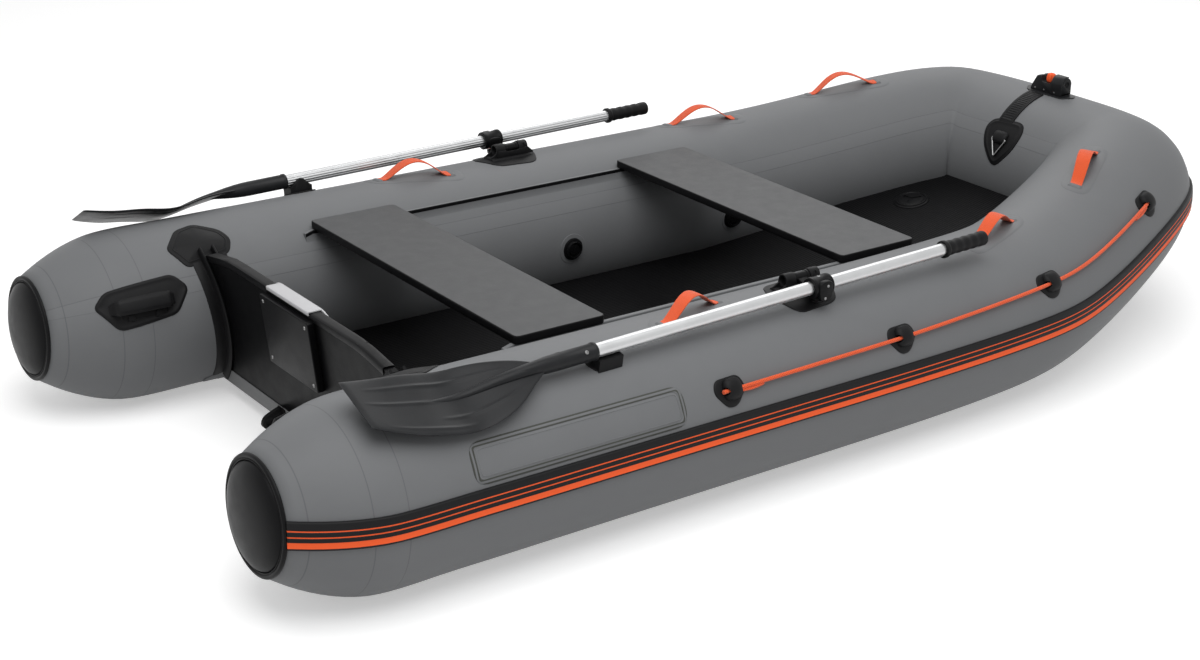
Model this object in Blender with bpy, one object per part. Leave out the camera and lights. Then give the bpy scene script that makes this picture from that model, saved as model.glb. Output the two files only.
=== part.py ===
"""An inflatable boat with a hard transom, an air deck, two bench seats and a pair of oars.

Metres: +X to the bow, +Y to port, +Z up, and the tubes stand on z = 0. A place on an air tube is
given by its station, measured along the tube's centreline from the section at x = 0, and by its
angle around the tube: 0 degrees faces the cockpit, 90 degrees is the top, 180 degrees is outboard.
The port half is modelled, and the starboard half mirrors it.
"""
import bisect
import math

import bmesh
import bpy
import numpy as np
from mathutils import Matrix, Vector

# Clearances
GAP = 0.0003                # between two pieces that touch
PLAY = 0.0006               # around a rope or between loosely lying pieces
BORE_PLAY = 0.0003          # around a pin or a shaft in its bore

# Air tubes
TUBE_RADIUS = 0.2025
TUBE_SPREAD = 0.5686        # from the middle of the boat to a side tube's centreline
TUBE_SIDES = 40
BULKHEAD = 0.30             # station where the side chambers meet the bow chamber
# Corners that pull the bow's centreline round: forward, in from the side tube, up
SHEER_START = -0.138
SHOULDER = (0.4548, 0.0, 0.0)
CHEEK = (0.7278, 0.0500, 0.0201)
BOW_CORNER = (1.2092, 0.2154, 0.1179)
NOSE = (1.2998, 0.3508, 0.1040)
BOW_RINGS = (3, 2, 6, 5)    # rings on each of the four bends
CURVE_SAMPLES = 48
RING_CHORD = TUBE_RADIUS / 2.25     # a ring faces along the chord this far before and after it

# Stern cones and their end caps
CONE_START = -1.26
CONE_LENGTH = 0.217
CONE_FULLNESS = 1.8
CONE_RINGS = 6
CAP_RADIUS = 0.1218
CAP_RISE = 0.0113
CAP_TILT = math.radians(2.8)
CAP_RIM = 0.006
CAP_RIM_HEIGHT = 0.008
CAP_DOME = 0.0319
CAP_SIDES = 28

# Rubbing strake
STRAKE_ANGLE = 175.6
STRAKE_WIDTH = 0.058
STRAKE_PROUD = 0.007

# Rubber parts glued to a tube
PATCH = 0.0025
PATCH_CORNER = 0.014        # rounding of a patch's corners
STRIP_LIFT = 0.0005         # a long strip's flat facets, off the round tube, to clear those of the tube

# Bench seats and the rails that they slide on
SEAT_DEPTH = 0.2346
SEAT_THICKNESS = 0.0195
SEAT_OVERHANG = 0.009       # past the outer edges of the rails' flat tops
SEAT_CORNER = 0.014
SEAT_CHAMFER = 0.005
SEAT_TOP_EDGE = 0.002
AFT_SEAT_X = -0.6904
FORE_SEAT_X = 0.2299
RAIL_AFT = -0.83
RAIL_FORE = 0.36
RAIL_ANGLES = (42.0, 52.0)
RAIL_FLANGE = 0.002
RAIL_RISE = 0.00743         # the flat top above the rail's outer foot
RAIL_SLOPES = (0.0089, 0.0049)      # the flat top's edges, in from the rail's feet

# Air deck and bottom
DECK_AFT = -1.000
DECK_CLEARANCE = 0.0026     # from the deck's underside to the bottom sheet, amidships
DECK_ANGLES = (-30.0, -16.5)
DECK_BEND = (0.37, 0.85)    # stations between which the deck climbs on the tubes
DECK_SWELL = ((0.0318, 0.0024), (0.0636, 0.0074))   # further round the tube, off its skin
DECK_LIFT = (0.0006, 0.0018)        # off the tubes, amidships and in the bow's bend
DECK_NOSE = 0.05            # the deck stops this far before the bow
BOTTOM_AFT = -1.09
BOTTOM_THICKNESS = 0.002
BOTTOM_ANGLE = -54.0
BOTTOM_END = 1.45

# Transom
TRANSOM_RAKE = math.radians(7.3)
TRANSOM_X = -1.0654         # the board's middle plane at the tubes' centre height
TRANSOM_THICKNESS = 0.025
TRANSOM_DEPTH = 0.1365      # from the tubes' centre height down to the board's lower edge
TRANSOM_DROP = 0.017        # from the tubes' tops down to the board's top edge
TRANSOM_FLAT = 0.2686       # from a side tube's centreline in to the level stretch of the top edge
TRANSOM_CORNER = (0.1506, 0.024)    # in from that centreline, down from the board's top
TRIM_WALL = 0.002
TRIM_DEPTH = 0.014
HOLDER_ANGLES = (-46.0, 53.0)
HOLDER_HALF_WIDTH = 0.046
HOLDER_RIB = 0.018
HOLDER_RIB_WALL = 0.007
HOLDER_PATCH = ((-1.176, 59.5), (-1.129, 76.4), (-1.078, 80.2), (-1.025, 68.4), (-1.011, 58.6),
                (-1.030, 48.0), (-1.144, 43.0))
BOARD_STEPS = 8             # flats on the board's side
PLATE_WIDTH = 0.222
PLATE_HEIGHT = 0.1684
PLATE_THICKNESS = 0.018
PLATE_CORNER = 0.006
PAD_HALF_WIDTH = 0.096
PAD_FLANGE_HALF_WIDTH = 0.140
PAD_WALL = 0.003
PAD_DEPTH = 0.030
PAD_LIP = 0.008             # depth of the saddle's aft lip
PAD_SHOULDER = 0.012        # from the board's top down to the flange's widest place
PAD_SLANT = 0.020
PAD_CORNER = 0.010

# Valves
VALVE_RADIUS = 0.030
VALVE_HEIGHT = 0.012
VALVE_FLANGE = 0.003
VALVE_LIFT = 0.0007
SIDE_VALVE = (-0.08, -1.0)          # station, angle
BOW_VALVE = (0.4686, -4.4)
DECK_VALVE = (0.925, 0.14)          # forward, to port
DECK_VALVE_RADIUS = 0.050
DECK_VALVE_HEIGHT = 0.006

# Lifelines and their eyes: station, angle
ROPE_RADIUS = 0.0045
ROPE_LIFT = 0.009
ROPE_POINTS = 32
ROPE_TAIL = 0.024
EYES = ((-0.47, 152.5), (0.027, 150.5), (0.5188, 146.5), (1.010, 142.9))
EYE_OUTLINE = ((-0.034, -0.028), (0.030, -0.030), (0.043, 0.000), (0.014, 0.035), (-0.012, 0.036),
               (-0.043, 0.000))
EYE_BRIDGE_LENGTH = 0.030
EYE_BRIDGE_FOOT = 0.036
EYE_BRIDGE_TOP = 0.020
EYE_BRIDGE_ROOF = 0.003

# Webbing grab handles: station and angle of the aft foot, then of the fore foot
GRAB_HANDLES = (
    ("aft", (-0.530, 97.0), (-0.350, 83.0)),
    ("mid", (0.403, 98.5), (0.605, 85.5)),
    ("fore", (0.886, 97.0), (1.078, 86.5)),
)
GRAB_WIDTH = 0.030
GRAB_THICKNESS = 0.003
GRAB_HEIGHT = 0.042
GRAB_FOOT = 0.012
GRAB_LIFT = 0.0006
GRAB_FLARE = 1.3            # how softly the arch leaves its feet; 1 is a plain sine
GRAB_STEPS = 12

# Moulded lift handles at the stern: station and angle
LIFT_OUTLINE = ((-1.385, 29.0), (-1.355, 39.0), (-1.188, 41.5), (-1.156, 30.6), (-1.195, 15.0),
                (-1.337, 10.0))
LIFT_BAR = (-1.352, -1.198)
LIFT_BAR_ANGLE = 25.5
LIFT_BAR_WIDTH = 0.030
LIFT_BAR_THICKNESS = 0.009
LIFT_BAR_RISE = 0.018
LIFT_BAR_BEND = 0.014       # length of the bar's bend at each end
LIFT_BAR_SLANT = 0.004

# Oars: the shaft's axis leans in and up towards the bow
OAR_OUTSET = 0.0858         # outboard of the tube's centreline, amidships
OAR_RISE = 0.0338           # above the tube's top, amidships
OAR_TOE_IN = 0.01027
OAR_CLIMB = 0.02255
SHAFT_RADIUS = 0.015
SHAFT_SIDES = 20
SLEEVE_X = -0.76            # where the blade's sleeve starts
SLEEVE_RADIUS = 0.018
SLEEVE_BORE = 0.085
SLEEVE_LENGTH = 0.205
SLEEVE_LIP = 0.0015
SLEEVE_LIP_LENGTH = 0.008
SLEEVE_TIP_RADIUS = 0.007
SLEEVE_TAPER_START = 0.105
GRIP_AFT = 0.230
GRIP_FORE = 0.365
GRIP_RADIUS = 0.0175
GRIP_LIP = 0.0205
GRIP_LIP_LENGTH = 0.009
GRIP_CHAMFER = 0.003
GRIP_END_WALL = 0.006
BLADE_TILT = math.radians(27)
BLADE_THICKNESS = 0.0055
BLADE_INNER = ((0.136, -0.012), (0.170, -0.030), (0.225, -0.050), (0.286, -0.065), (0.351, -0.072),
               (0.437, -0.080), (0.552, -0.083))
BLADE_OUTER = ((0.136, 0.018), (0.166, 0.036), (0.206, 0.063), (0.262, 0.085), (0.334, 0.092),
               (0.437, 0.077), (0.544, 0.038))
BLADE_SPOON = ((0.136, 0.0), (0.25, -0.008), (0.33, -0.018), (0.40, -0.008), (0.47, 0.000),
               (0.56, 0.019))
BLADE_ROWS = 12
BLADE_COLUMNS = 5

# Oarlocks
LOCK_X = -0.150             # where the collar grips the shaft
BARREL_INSET = 0.0744       # inboard of the oar's axis
BARREL_DROP = 0.0078        # below the oar's axis
BARREL_RADIUS = 0.0125
CHEEK_RADIUS = 0.0138
CHEEKS = ((-0.189, -0.160), (-0.118, -0.090))
TRUNNION_RADIUS = 0.005
TRUNNION_LENGTH = 0.008
SADDLE = (-0.204, -0.090)
SADDLE_HALF_WIDTH = 0.022
SADDLE_DROP = 0.005         # from the barrel down to the saddle's top
SADDLE_SLOPE = 0.004
CHEEK_FLARE = 0.002
CHEEK_SINK = 0.003
LOCK_PATCH = ((-0.240, 97.0), (-0.205, 79.0), (-0.090, 76.0), (-0.055, 96.0), (-0.090, 115.0),
              (-0.205, 117.5))
COLLAR_RADIUS = 0.0235
COLLAR_LENGTH = 0.054
PIN_TILT = math.radians(20)
PIN_RADIUS = 0.005
PIN_HEAD_RADIUS = 0.009
PIN_HEAD_HEIGHT = 0.003
BOSS_RADIUS = 0.010
BOSS_STEP = 0.0005          # the boss stands this far below the collar
ARM_ROOT = 0.014            # the arm's thickness at the barrel
ARM_ROOT_DROP = 0.002
ARM_INSET = 0.0004
LOCK_EYE_RADIUS = 0.014
LOCK_EYE_HEIGHT = 0.0115
LOCK_ARM_WIDTH = 0.028

# Clips that hold the stowed oars
CLIP_X = -0.727
CLIP_LENGTH = 0.040
CLIP_PLAY = 0.0008
CLIP_PRONG = 0.007          # height of the inboard prong above the shaft's axis
CLIP_WALL = 0.007
CLIP_CRADLE = (180, 198, 216, 234, 250)     # angles of the cradle's surface around the shaft
CLIP_LIP = 0.0155           # the low outboard lip, from the shaft's axis
CLIP_LIP_WALL = 0.005
CLIP_LIP_DROP = 0.0004
CLIP_FOOT = 0.012
CLIP_FLARE = 0.002
CLIP_OUTLINE = ((-0.040, 0.0), (-0.026, -0.026), (0.026, -0.026), (0.040, 0.0), (0.026, 0.026),
                (-0.026, 0.026))

# Bow fittings: how far to port, and the angle on the bow tube
RING_PATCH_Y = 0.008
RING_PATCH_OUTLINE = ((-0.014, 6.0), (0.012, 6.0), (0.060, 20.0), (0.078, 34.0), (0.056, 43.0),
                      (-0.054, 45.0), (-0.076, 36.0), (-0.064, 21.0))
STRAP_Y = 0.022
STRAP_WIDTH = 0.056
STRAP_ANGLES = (41.0, 80.5)
STRAP_THICKNESS = 0.0035
RING_WIRE = 0.0025
RING_WIDTH = 0.058
RING_DROP = 0.050
RING_ANGLE = 27.0
RING_LIFT = 0.0078
RING_BEND = 0.006           # length of each corner's bend
RING_LEAN = 0.0004          # the low corner lies this much nearer the patch
HOOD_WIDTH = 0.034
HOOD_FOOT = 0.026
HOOD_TOP = 0.0135
LOCK_BASE_ANGLES = (81.5, 98.5)
LOCK_BASE_HALF_WIDTH = 0.088
LOCK_BASE_SLANT = 0.022
HOUSING_LEVEL = 0.028       # height of the flat that the knob sits on
HOUSING_WALL_HEIGHT = 0.033
HOUSING_OUTLINE = ((0.058, 0.0), (0.053, 0.014), (0.036, 0.044), (0.024, 0.046),
                   (0.020, HOUSING_LEVEL), (-0.010, HOUSING_LEVEL), (-0.014, HOUSING_WALL_HEIGHT))
HOUSING_HALF_DEPTH = 0.019
PLINTH_HEIGHT = 0.008
ROLLER_SPAN = (-0.025, -0.049)
ROLLER_CHEEK = 0.005
ROLLER_CHEEK_RIM = 0.001    # the cheeks stand this far out past the roller
ROLLER_RADIUS = 0.018
ROLLER_WAIST = 0.004
ROLLER_FLANK = 0.006
ROLLER_HEIGHT = 0.031
ROLLER_AXLE = 0.005
ROLLER_PIN = 0.003          # the axle's reach into the housing
KNOB_Y = 0.004
KNOB_RADIUS = 0.0115
KNOB_FLUTE = 0.0025
KNOB_FLUTES = 7
KNOB_HEIGHT = 0.024
KNOB_CHAMFER = 0.005
SCREW_RADIUS = 0.004
SCREW_DEPTH = 0.008

# Places that follow from these sizes
RAIL_FEET = [TUBE_SPREAD - TUBE_RADIUS * math.cos(math.radians(angle)) for angle in RAIL_ANGLES]
RAIL_TOP = (RAIL_FEET[0] + RAIL_SLOPES[0], RAIL_FEET[1] - RAIL_SLOPES[1])
RAIL_HEIGHT = TUBE_RADIUS * (1 + math.sin(math.radians(RAIL_ANGLES[1]))) + RAIL_RISE
SEAT_TOP = RAIL_HEIGHT + GAP + SEAT_THICKNESS
SEAT_HALF_LENGTH = RAIL_TOP[1] + SEAT_OVERHANG
DECK_DEPTHS = [math.sin(math.radians(-angle)) for angle in (DECK_ANGLES[0], BOTTOM_ANGLE)]
DECK_THICKNESS = TUBE_RADIUS * (DECK_DEPTHS[1] - DECK_DEPTHS[0]) - DECK_CLEARANCE
TRANSOM_TOP = 2 * TUBE_RADIUS - TRANSOM_DROP
BOARD_CORNER = (TUBE_SPREAD - TRANSOM_CORNER[0], TRANSOM_TOP - TRANSOM_CORNER[1])
BOARD_FLAT = TUBE_SPREAD - TRANSOM_FLAT
OAR_SPREAD = TUBE_SPREAD + OAR_OUTSET
OAR_HEIGHT = 2 * TUBE_RADIUS + OAR_RISE
BARREL_Y = OAR_SPREAD - BARREL_INSET
BARREL_Z = OAR_HEIGHT - BARREL_DROP

FACET = 360.0 / TUBE_SIDES
PORT, STARBOARD = 1, -1
SIDES = ((PORT, "port"), (STARBOARD, "starboard"))
MIRROR = np.array([1.0, -1.0, 1.0])


# Finishes: base colour, roughness, metallic
FINISHES = {
    "grey_fabric": ((0.155, 0.160, 0.166), 0.55, 0.0),
    "black_rubber": ((0.022, 0.022, 0.024), 0.60, 0.0),
    "black_plastic": ((0.020, 0.020, 0.022), 0.45, 0.0),
    "deck_fabric": ((0.012, 0.012, 0.013), 0.60, 0.0),
    "seat_board": ((0.110, 0.110, 0.114), 0.50, 0.0),
    "transom_board": ((0.030, 0.031, 0.034), 0.45, 0.0),
    "light_plastic": ((0.550, 0.550, 0.560), 0.45, 0.0),
    "orange_webbing": ((0.850, 0.130, 0.040), 0.65, 0.0),
    "orange_plastic": ((0.850, 0.100, 0.030), 0.35, 0.0),
    "aluminium": ((0.700, 0.710, 0.720), 0.30, 1.0),
    "steel": ((0.600, 0.600, 0.600), 0.25, 1.0),
}


# The hull's centreline

def bow_bends():
    """The four bends of the port centreline, each a start, a pulling corner and an end."""
    corners = [np.array([forward, TUBE_SPREAD - inset, TUBE_RADIUS + rise])
               for forward, inset, rise in (SHOULDER, CHEEK, BOW_CORNER, NOSE)]
    start = np.array([SHEER_START, TUBE_SPREAD, TUBE_RADIUS])
    bends = []
    for corner, following in zip(corners, corners[1:] + [corners[-1] * MIRROR]):
        end = (corner + following) / 2
        bends.append((start, corner, end))
        start = end
    return bends


def trace_centreline():
    """Points and stations of the bends, and the stations of the tube's rings on them."""
    points, ring_marks = [], []
    for (start, corner, end), rings in zip(bow_bends(), BOW_RINGS):
        ring_marks += [len(points) + round(k * CURVE_SAMPLES / rings) for k in range(rings)]
        for sample in range(CURVE_SAMPLES):
            t = sample / CURVE_SAMPLES
            points.append((1 - t) ** 2 * start + 2 * t * (1 - t) * corner + t * t * end)
    points = np.array(points + [end])
    steps = np.linalg.norm(np.diff(points, axis=0), axis=1)
    stations = SHEER_START + np.concatenate([[0.0], np.cumsum(steps)])
    return points, stations, [float(stations[mark]) for mark in ring_marks]


CENTRES, STATIONS, BEND_STATIONS = trace_centreline()
BOW = float(STATIONS[-1])
STERN = CONE_START - CONE_LENGTH


def all_rings():
    """Stations of every ring of the tube, from the port cap round the bow to the starboard cap."""
    cone = [STERN + CONE_LENGTH * k / CONE_RINGS for k in range(CONE_RINGS)]
    port = cone + [CONE_START] + BEND_STATIONS
    return port + [BOW] + [2 * BOW - station for station in reversed(port)]


RINGS = all_rings()


def cone_share(station):
    """0 on the full tube, 1 at the end cap."""
    return max(0.0, (CONE_START - station) / CONE_LENGTH)


def centre_at(station):
    """A point of the tube's centreline, from the port stern round the bow to starboard."""
    if station > BOW:
        return centre_at(2 * BOW - station) * MIRROR
    if station < SHEER_START:
        rise = CAP_RISE * cone_share(station) ** 2
        return np.array([station, TUBE_SPREAD, TUBE_RADIUS + rise])
    return np.array([np.interp(station, STATIONS, CENTRES[:, axis]) for axis in range(3)])


def hull_frame(station):
    """Centre, inward direction, upward direction and radius of the tube at a station.

    In a tight bend the rings face along a chord and not along the bend, so that they don't
    cross on its inner side.
    """
    centre = centre_at(station)
    share = cone_share(min(station, 2 * BOW - station))
    radius = TUBE_RADIUS - (TUBE_RADIUS - CAP_RADIUS) * share ** CONE_FULLNESS
    if station < SHEER_START - RING_CHORD:
        tilt = CAP_TILT * share ** 2
        upward = np.array([math.sin(tilt), 0.0, math.cos(tilt)])
        return centre, np.array([0.0, -1.0, 0.0]), upward, radius
    if station > 2 * BOW - SHEER_START + RING_CHORD:
        _, inward, upward, _ = hull_frame(2 * BOW - station)
        return centre, inward * MIRROR, upward, radius
    forward = centre_at(station + RING_CHORD) - centre_at(station - RING_CHORD)
    forward /= np.linalg.norm(forward)
    upward = np.array([0.0, 0.0, 1.0]) - forward * forward[2]
    upward /= np.linalg.norm(upward)
    return centre, np.cross(upward, -forward), upward, radius


def on_tube(station, angle, lift=0.0):
    """A point on the round tube, or lift metres off it."""
    centre, inward, upward, radius = hull_frame(station)
    turn = math.radians(angle)
    return centre + (radius + lift) * (math.cos(turn) * inward + math.sin(turn) * upward)


def mix(first, second, share):
    return first + (second - first) * share


def between_rings(station, angle, lift=0.0):
    """The same point where the tube runs straight from one of its rings to the next."""
    upper = min(max(bisect.bisect_right(RINGS, station), 1), len(RINGS) - 1)
    near, far = RINGS[upper - 1], RINGS[upper]
    share = (station - near) / (far - near)
    return mix(on_tube(near, angle, lift), on_tube(far, angle, lift), share)


def on_skin(station, angle, lift=0.0):
    """The same point on the tube as it is built, from flat facets between its rings."""
    low = math.floor(angle / FACET + 1e-9) * FACET
    edges = [between_rings(station, edge, lift) for edge in (low, low + FACET)]
    return mix(edges[0], edges[1], (angle - low) / FACET)


def girth(angle):
    """Length around the tube up to an angle in degrees."""
    return math.radians(angle) * TUBE_RADIUS


def angle_at(length):
    return math.degrees(length / TUBE_RADIUS)


# Shapes

def loft(rings, loop=False):
    """A closed solid through rings of points, with its ends capped or joined."""
    bm = bmesh.new()
    rows = [[bm.verts.new(Vector(point)) for point in ring] for ring in rings]
    pairs = list(zip(rows, rows[1:]))
    if loop:
        pairs.append((rows[-1], rows[0]))
    for first, second in pairs:
        for k, corner in enumerate(first):
            following = (k + 1) % len(first)
            bm.faces.new((corner, first[following], second[following], second[k]))
    if not loop:
        bm.faces.new(rows[0])
        bm.faces.new(rows[-1])
    return bm


def lathe(profile, sides):
    """A solid turned about Z from (radius, height) pairs that start and end on the axis."""
    bm = bmesh.new()
    turns = [2 * math.pi * k / sides for k in range(sides)]
    bottom = bm.verts.new((0, 0, profile[0][1]))
    top = bm.verts.new((0, 0, profile[-1][1]))
    rows = [[bm.verts.new((radius * math.cos(turn), radius * math.sin(turn), height))
             for turn in turns] for radius, height in profile[1:-1]]
    for k in range(sides):
        following = (k + 1) % sides
        bm.faces.new((bottom, rows[0][following], rows[0][k]))
        bm.faces.new((top, rows[-1][k], rows[-1][following]))
        for first, second in zip(rows, rows[1:]):
            bm.faces.new((first[k], first[following], second[following], second[k]))
    return bm


def cylinder(radius, low, high, sides):
    return lathe(((0, low), (radius, low), (radius, high), (0, high)), sides)


def aim(bm, origin, axis, across=(0, 0, 1)):
    """Turn a mesh so that its Z lies along an axis and its X towards another direction."""
    z = Vector(axis).normalized()
    x = Vector(across)
    x = (x - z * x.dot(z)).normalized()
    turn = Matrix((x, z.cross(x), z)).transposed().to_4x4()
    bm.transform(Matrix.Translation(Vector(origin)) @ turn)
    return bm


def rounded(corners, radius, steps=3):
    """A closed outline with an arc in place of each corner."""
    outline = []
    count = len(corners)
    for k, corner in enumerate(corners):
        here = Vector(corner)
        back = Vector(corners[k - 1]) - here
        ahead = Vector(corners[(k + 1) % count]) - here
        turn = math.pi - back.angle(ahead)
        reach = min(radius * math.tan(turn / 2), 0.45 * back.length, 0.45 * ahead.length)
        start = here + back.normalized() * reach
        end = here + ahead.normalized() * reach
        for step in range(steps + 1):
            t = step / steps
            outline.append(tuple((1 - t) ** 2 * start + 2 * t * (1 - t) * here + t * t * end))
    return outline


def on_skin_sheet(outline, thickness):
    """A sheet glued to the tube, from an outline of stations and lengths around the tube."""
    flat = bmesh.new()
    flat.faces.new([flat.verts.new((station, around, 0)) for station, around in outline])
    stations = [station for station, _ in outline]
    lengths = [length for _, length in outline]
    cuts = [((ring, 0, 0), (1, 0, 0)) for ring in RINGS if min(stations) < ring < max(stations)]
    first = math.ceil(angle_at(min(lengths)) / FACET)
    last = math.floor(angle_at(max(lengths)) / FACET)
    cuts += [((0, girth(k * FACET), 0), (0, 1, 0)) for k in range(first, last + 1)]
    for place, normal in cuts:
        geometry = flat.verts[:] + flat.edges[:] + flat.faces[:]
        bmesh.ops.bisect_plane(flat, geom=geometry, dist=1e-6, plane_co=place, plane_no=normal)
    flat.verts.index_update()
    solid = bmesh.new()
    lower, upper = [
        [solid.verts.new(Vector(on_skin(v.co.x, angle_at(v.co.y), lift))) for v in flat.verts]
        for lift in (GAP, GAP + thickness)]
    for face in flat.faces:
        corners = [v.index for v in face.verts]
        solid.faces.new([upper[k] for k in corners])
        solid.faces.new([lower[k] for k in reversed(corners)])
    for edge in flat.edges:
        if edge.is_boundary:
            a, b = (v.index for v in edge.verts)
            solid.faces.new((lower[a], lower[b], upper[b], upper[a]))
    flat.free()
    return solid


def outward(bm):
    bmesh.ops.recalc_face_normals(bm, faces=bm.faces)


def combine(first, second, operation):
    """Union or difference of two closed meshes."""
    helpers = []
    for bm in (first, second):
        outward(bm)
        mesh = bpy.data.meshes.new("helper")
        bm.to_mesh(mesh)
        bm.free()
        helper = bpy.data.objects.new("helper", mesh)
        bpy.context.scene.collection.objects.link(helper)
        helpers.append(helper)
    modifier = helpers[0].modifiers.new("combine", "BOOLEAN")
    modifier.operation = operation
    modifier.object = helpers[1]
    bpy.context.view_layer.update()
    result = bmesh.new()
    result.from_object(helpers[0], bpy.context.evaluated_depsgraph_get())
    for helper in helpers:
        mesh = helper.data
        bpy.data.objects.remove(helper)
        bpy.data.meshes.remove(mesh)
    bmesh.ops.remove_doubles(result, verts=result.verts, dist=1e-6)
    bmesh.ops.dissolve_degenerate(result, edges=result.edges, dist=1e-6)
    return result


def union(first, *others):
    for other in others:
        first = combine(first, other, "UNION")
    return first


def difference(first, *others):
    for other in others:
        first = combine(first, other, "DIFFERENCE")
    return first


def finish_material(name):
    if name in bpy.data.materials:
        return bpy.data.materials[name]
    colour, roughness, metallic = FINISHES[name]
    material = bpy.data.materials.new(name)
    material.use_nodes = True
    shader = material.node_tree.nodes["Principled BSDF"]
    shader.inputs["Base Color"].default_value = (*colour, 1.0)
    shader.inputs["Roughness"].default_value = roughness
    shader.inputs["Metallic"].default_value = metallic
    material.diffuse_color = (*colour, 1.0)
    return material


def add_piece(name, bm, finish, side=PORT, pivot=(0.0, 0.0, 0.0)):
    """Name a mesh and place it; a moving piece has its origin on its joint's axis."""
    if side == STARBOARD:
        bmesh.ops.scale(bm, vec=(1, -1, 1), verts=bm.verts)
    pivot = Vector((pivot[0], pivot[1] * side, pivot[2]))
    outward(bm)
    bmesh.ops.translate(bm, vec=-pivot, verts=bm.verts)
    mesh = bpy.data.meshes.new(name)
    bm.to_mesh(mesh)
    bm.free()
    mesh.shade_smooth()
    mesh.set_sharp_from_angle(angle=math.radians(32))
    mesh.materials.append(finish_material(finish))
    piece = bpy.data.objects.new(name, mesh)
    piece.location = pivot
    bpy.context.scene.collection.objects.link(piece)
    return piece


# Hull

def air_tube(first, last):
    stations = [first] + [ring for ring in RINGS if first + GAP < ring < last - GAP] + [last]
    return loft([[on_skin(station, k * FACET) for k in range(TUBE_SIDES)] for station in stations])


def stern_cap():
    centre, inward, upward, _ = hull_frame(STERN)
    floor = CAP_RIM_HEIGHT / 2
    inner = CAP_RADIUS - 2 * CAP_RIM
    profile = [(0, GAP), (CAP_RADIUS, GAP), (CAP_RADIUS + CAP_RIM / 6, floor),
               (CAP_RADIUS - CAP_RIM / 2, CAP_RIM_HEIGHT), (inner + CAP_RIM / 2, CAP_RIM_HEIGHT * 0.8)]
    for turn in (0, 25, 50, 72):
        lean = math.radians(turn)
        profile.append((inner * math.cos(lean), floor + (CAP_DOME - floor) * math.sin(lean)))
    profile.append((0, GAP + CAP_DOME))
    return aim(lathe(profile, CAP_SIDES), centre, np.cross(inward, upward), upward)


def rub_strake():
    """A rubber band with a rounded outer face, from one end cap round the bow to the other."""
    rounding = ((0.0, 0.4), (0.12, 0.9), (0.5, 1.0), (0.88, 0.9), (1.0, 0.4))
    rings = []
    for station in RINGS:
        half = math.degrees(STRAKE_WIDTH / 2 / hull_frame(station)[3])
        top, bottom = STRAKE_ANGLE - half, STRAKE_ANGLE + half
        ring = [on_tube(station, mix(top, bottom, k / 4), STRIP_LIFT) for k in range(5)]
        ring += [on_tube(station, mix(top, bottom, share), STRIP_LIFT + STRAKE_PROUD * proud)
                 for share, proud in reversed(rounding)]
        rings.append(ring)
    return loft(rings)


def bench():
    """A seat board about its own middle, with its lower edges chamfered to clear the tubes."""
    bottom = SEAT_TOP - SEAT_THICKNESS
    rings = []
    for height, inset in ((bottom, SEAT_CHAMFER), (bottom + SEAT_CHAMFER, 0.0),
                          (SEAT_TOP - SEAT_TOP_EDGE, 0.0), (SEAT_TOP, SEAT_TOP_EDGE)):
        x, y = SEAT_DEPTH / 2 - inset, SEAT_HALF_LENGTH - inset
        outline = rounded(((x, y), (-x, y), (-x, -y), (x, -y)), SEAT_CORNER)
        rings.append([(px, py, height) for px, py in outline])
    return loft(rings)


def seat_rail():
    """A rubber ridge on the tube with a level top that the seats rest and slide on."""
    top = RAIL_HEIGHT
    low, high = RAIL_ANGLES
    rings = []
    for station in [RAIL_AFT] + [ring for ring in RINGS if RAIL_AFT < ring < RAIL_FORE] + [RAIL_FORE]:
        x = hull_frame(station)[0][0]
        under = [between_rings(station, mix(low, high, k / 2), STRIP_LIFT) for k in range(3)]
        rings.append([
            *under, between_rings(station, high, STRIP_LIFT + RAIL_FLANGE), (x, RAIL_TOP[1], top),
            (x, RAIL_TOP[0], top), between_rings(station, low, STRIP_LIFT + RAIL_FLANGE)])
    return loft(rings)


def share_between(value, span):
    return min(1.0, max(0.0, (value - span[0]) / (span[1] - span[0])))


def deck_angle(station):
    return mix(DECK_ANGLES[0], DECK_ANGLES[1], share_between(station, DECK_BEND))


def deck_lift(station):
    return mix(DECK_LIFT[0], DECK_LIFT[1], share_between(station, DECK_BEND))


def deck_edge(station):
    """The upper edge of the air deck, where it bears on the tube."""
    return on_skin(station, deck_angle(station), deck_lift(station))


def deck_stations():
    bends = [ring for ring in BEND_STATIONS if ring > SHEER_START]
    return [DECK_AFT, SHEER_START] + sorted(bends + [DECK_BEND[0]]) + [BOW - DECK_NOSE]


def air_deck():
    """An inflated mattress between the tubes, with rounded sides, that climbs towards the bow."""
    rings = []
    for station in deck_stations():
        edge = deck_edge(station)
        swell = [on_skin(station, deck_angle(station) - angle_at(around), deck_lift(station) + lift)
                 for around, lift in DECK_SWELL]
        half = [edge, *swell, edge - np.array([0.0, 0.0, DECK_THICKNESS])]
        rings.append(half + [point * MIRROR for point in reversed(half)])
    return loft(rings)


def bottom_fabric():
    """The sheet that closes the hull below the deck; its edges are glued under the tubes."""
    stations = [BOTTOM_AFT] + [ring for ring in RINGS if SHEER_START <= ring < BOTTOM_END]
    edge = (BOTTOM_ANGLE - FACET, BOTTOM_ANGLE)
    rings = []
    for station in stations + [BOTTOM_END]:
        upper = [on_skin(station, angle, GAP) for angle in edge]
        lower = [on_skin(station, angle, GAP + BOTTOM_THICKNESS) for angle in reversed(edge)]
        half = upper + [point * MIRROR for point in reversed(upper)]
        rings.append(half + [point * MIRROR for point in reversed(lower)] + lower)
    return loft(rings)


# Transom

def board_up():
    return Vector((-math.sin(TRANSOM_RAKE), 0.0, math.cos(TRANSOM_RAKE)))


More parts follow.
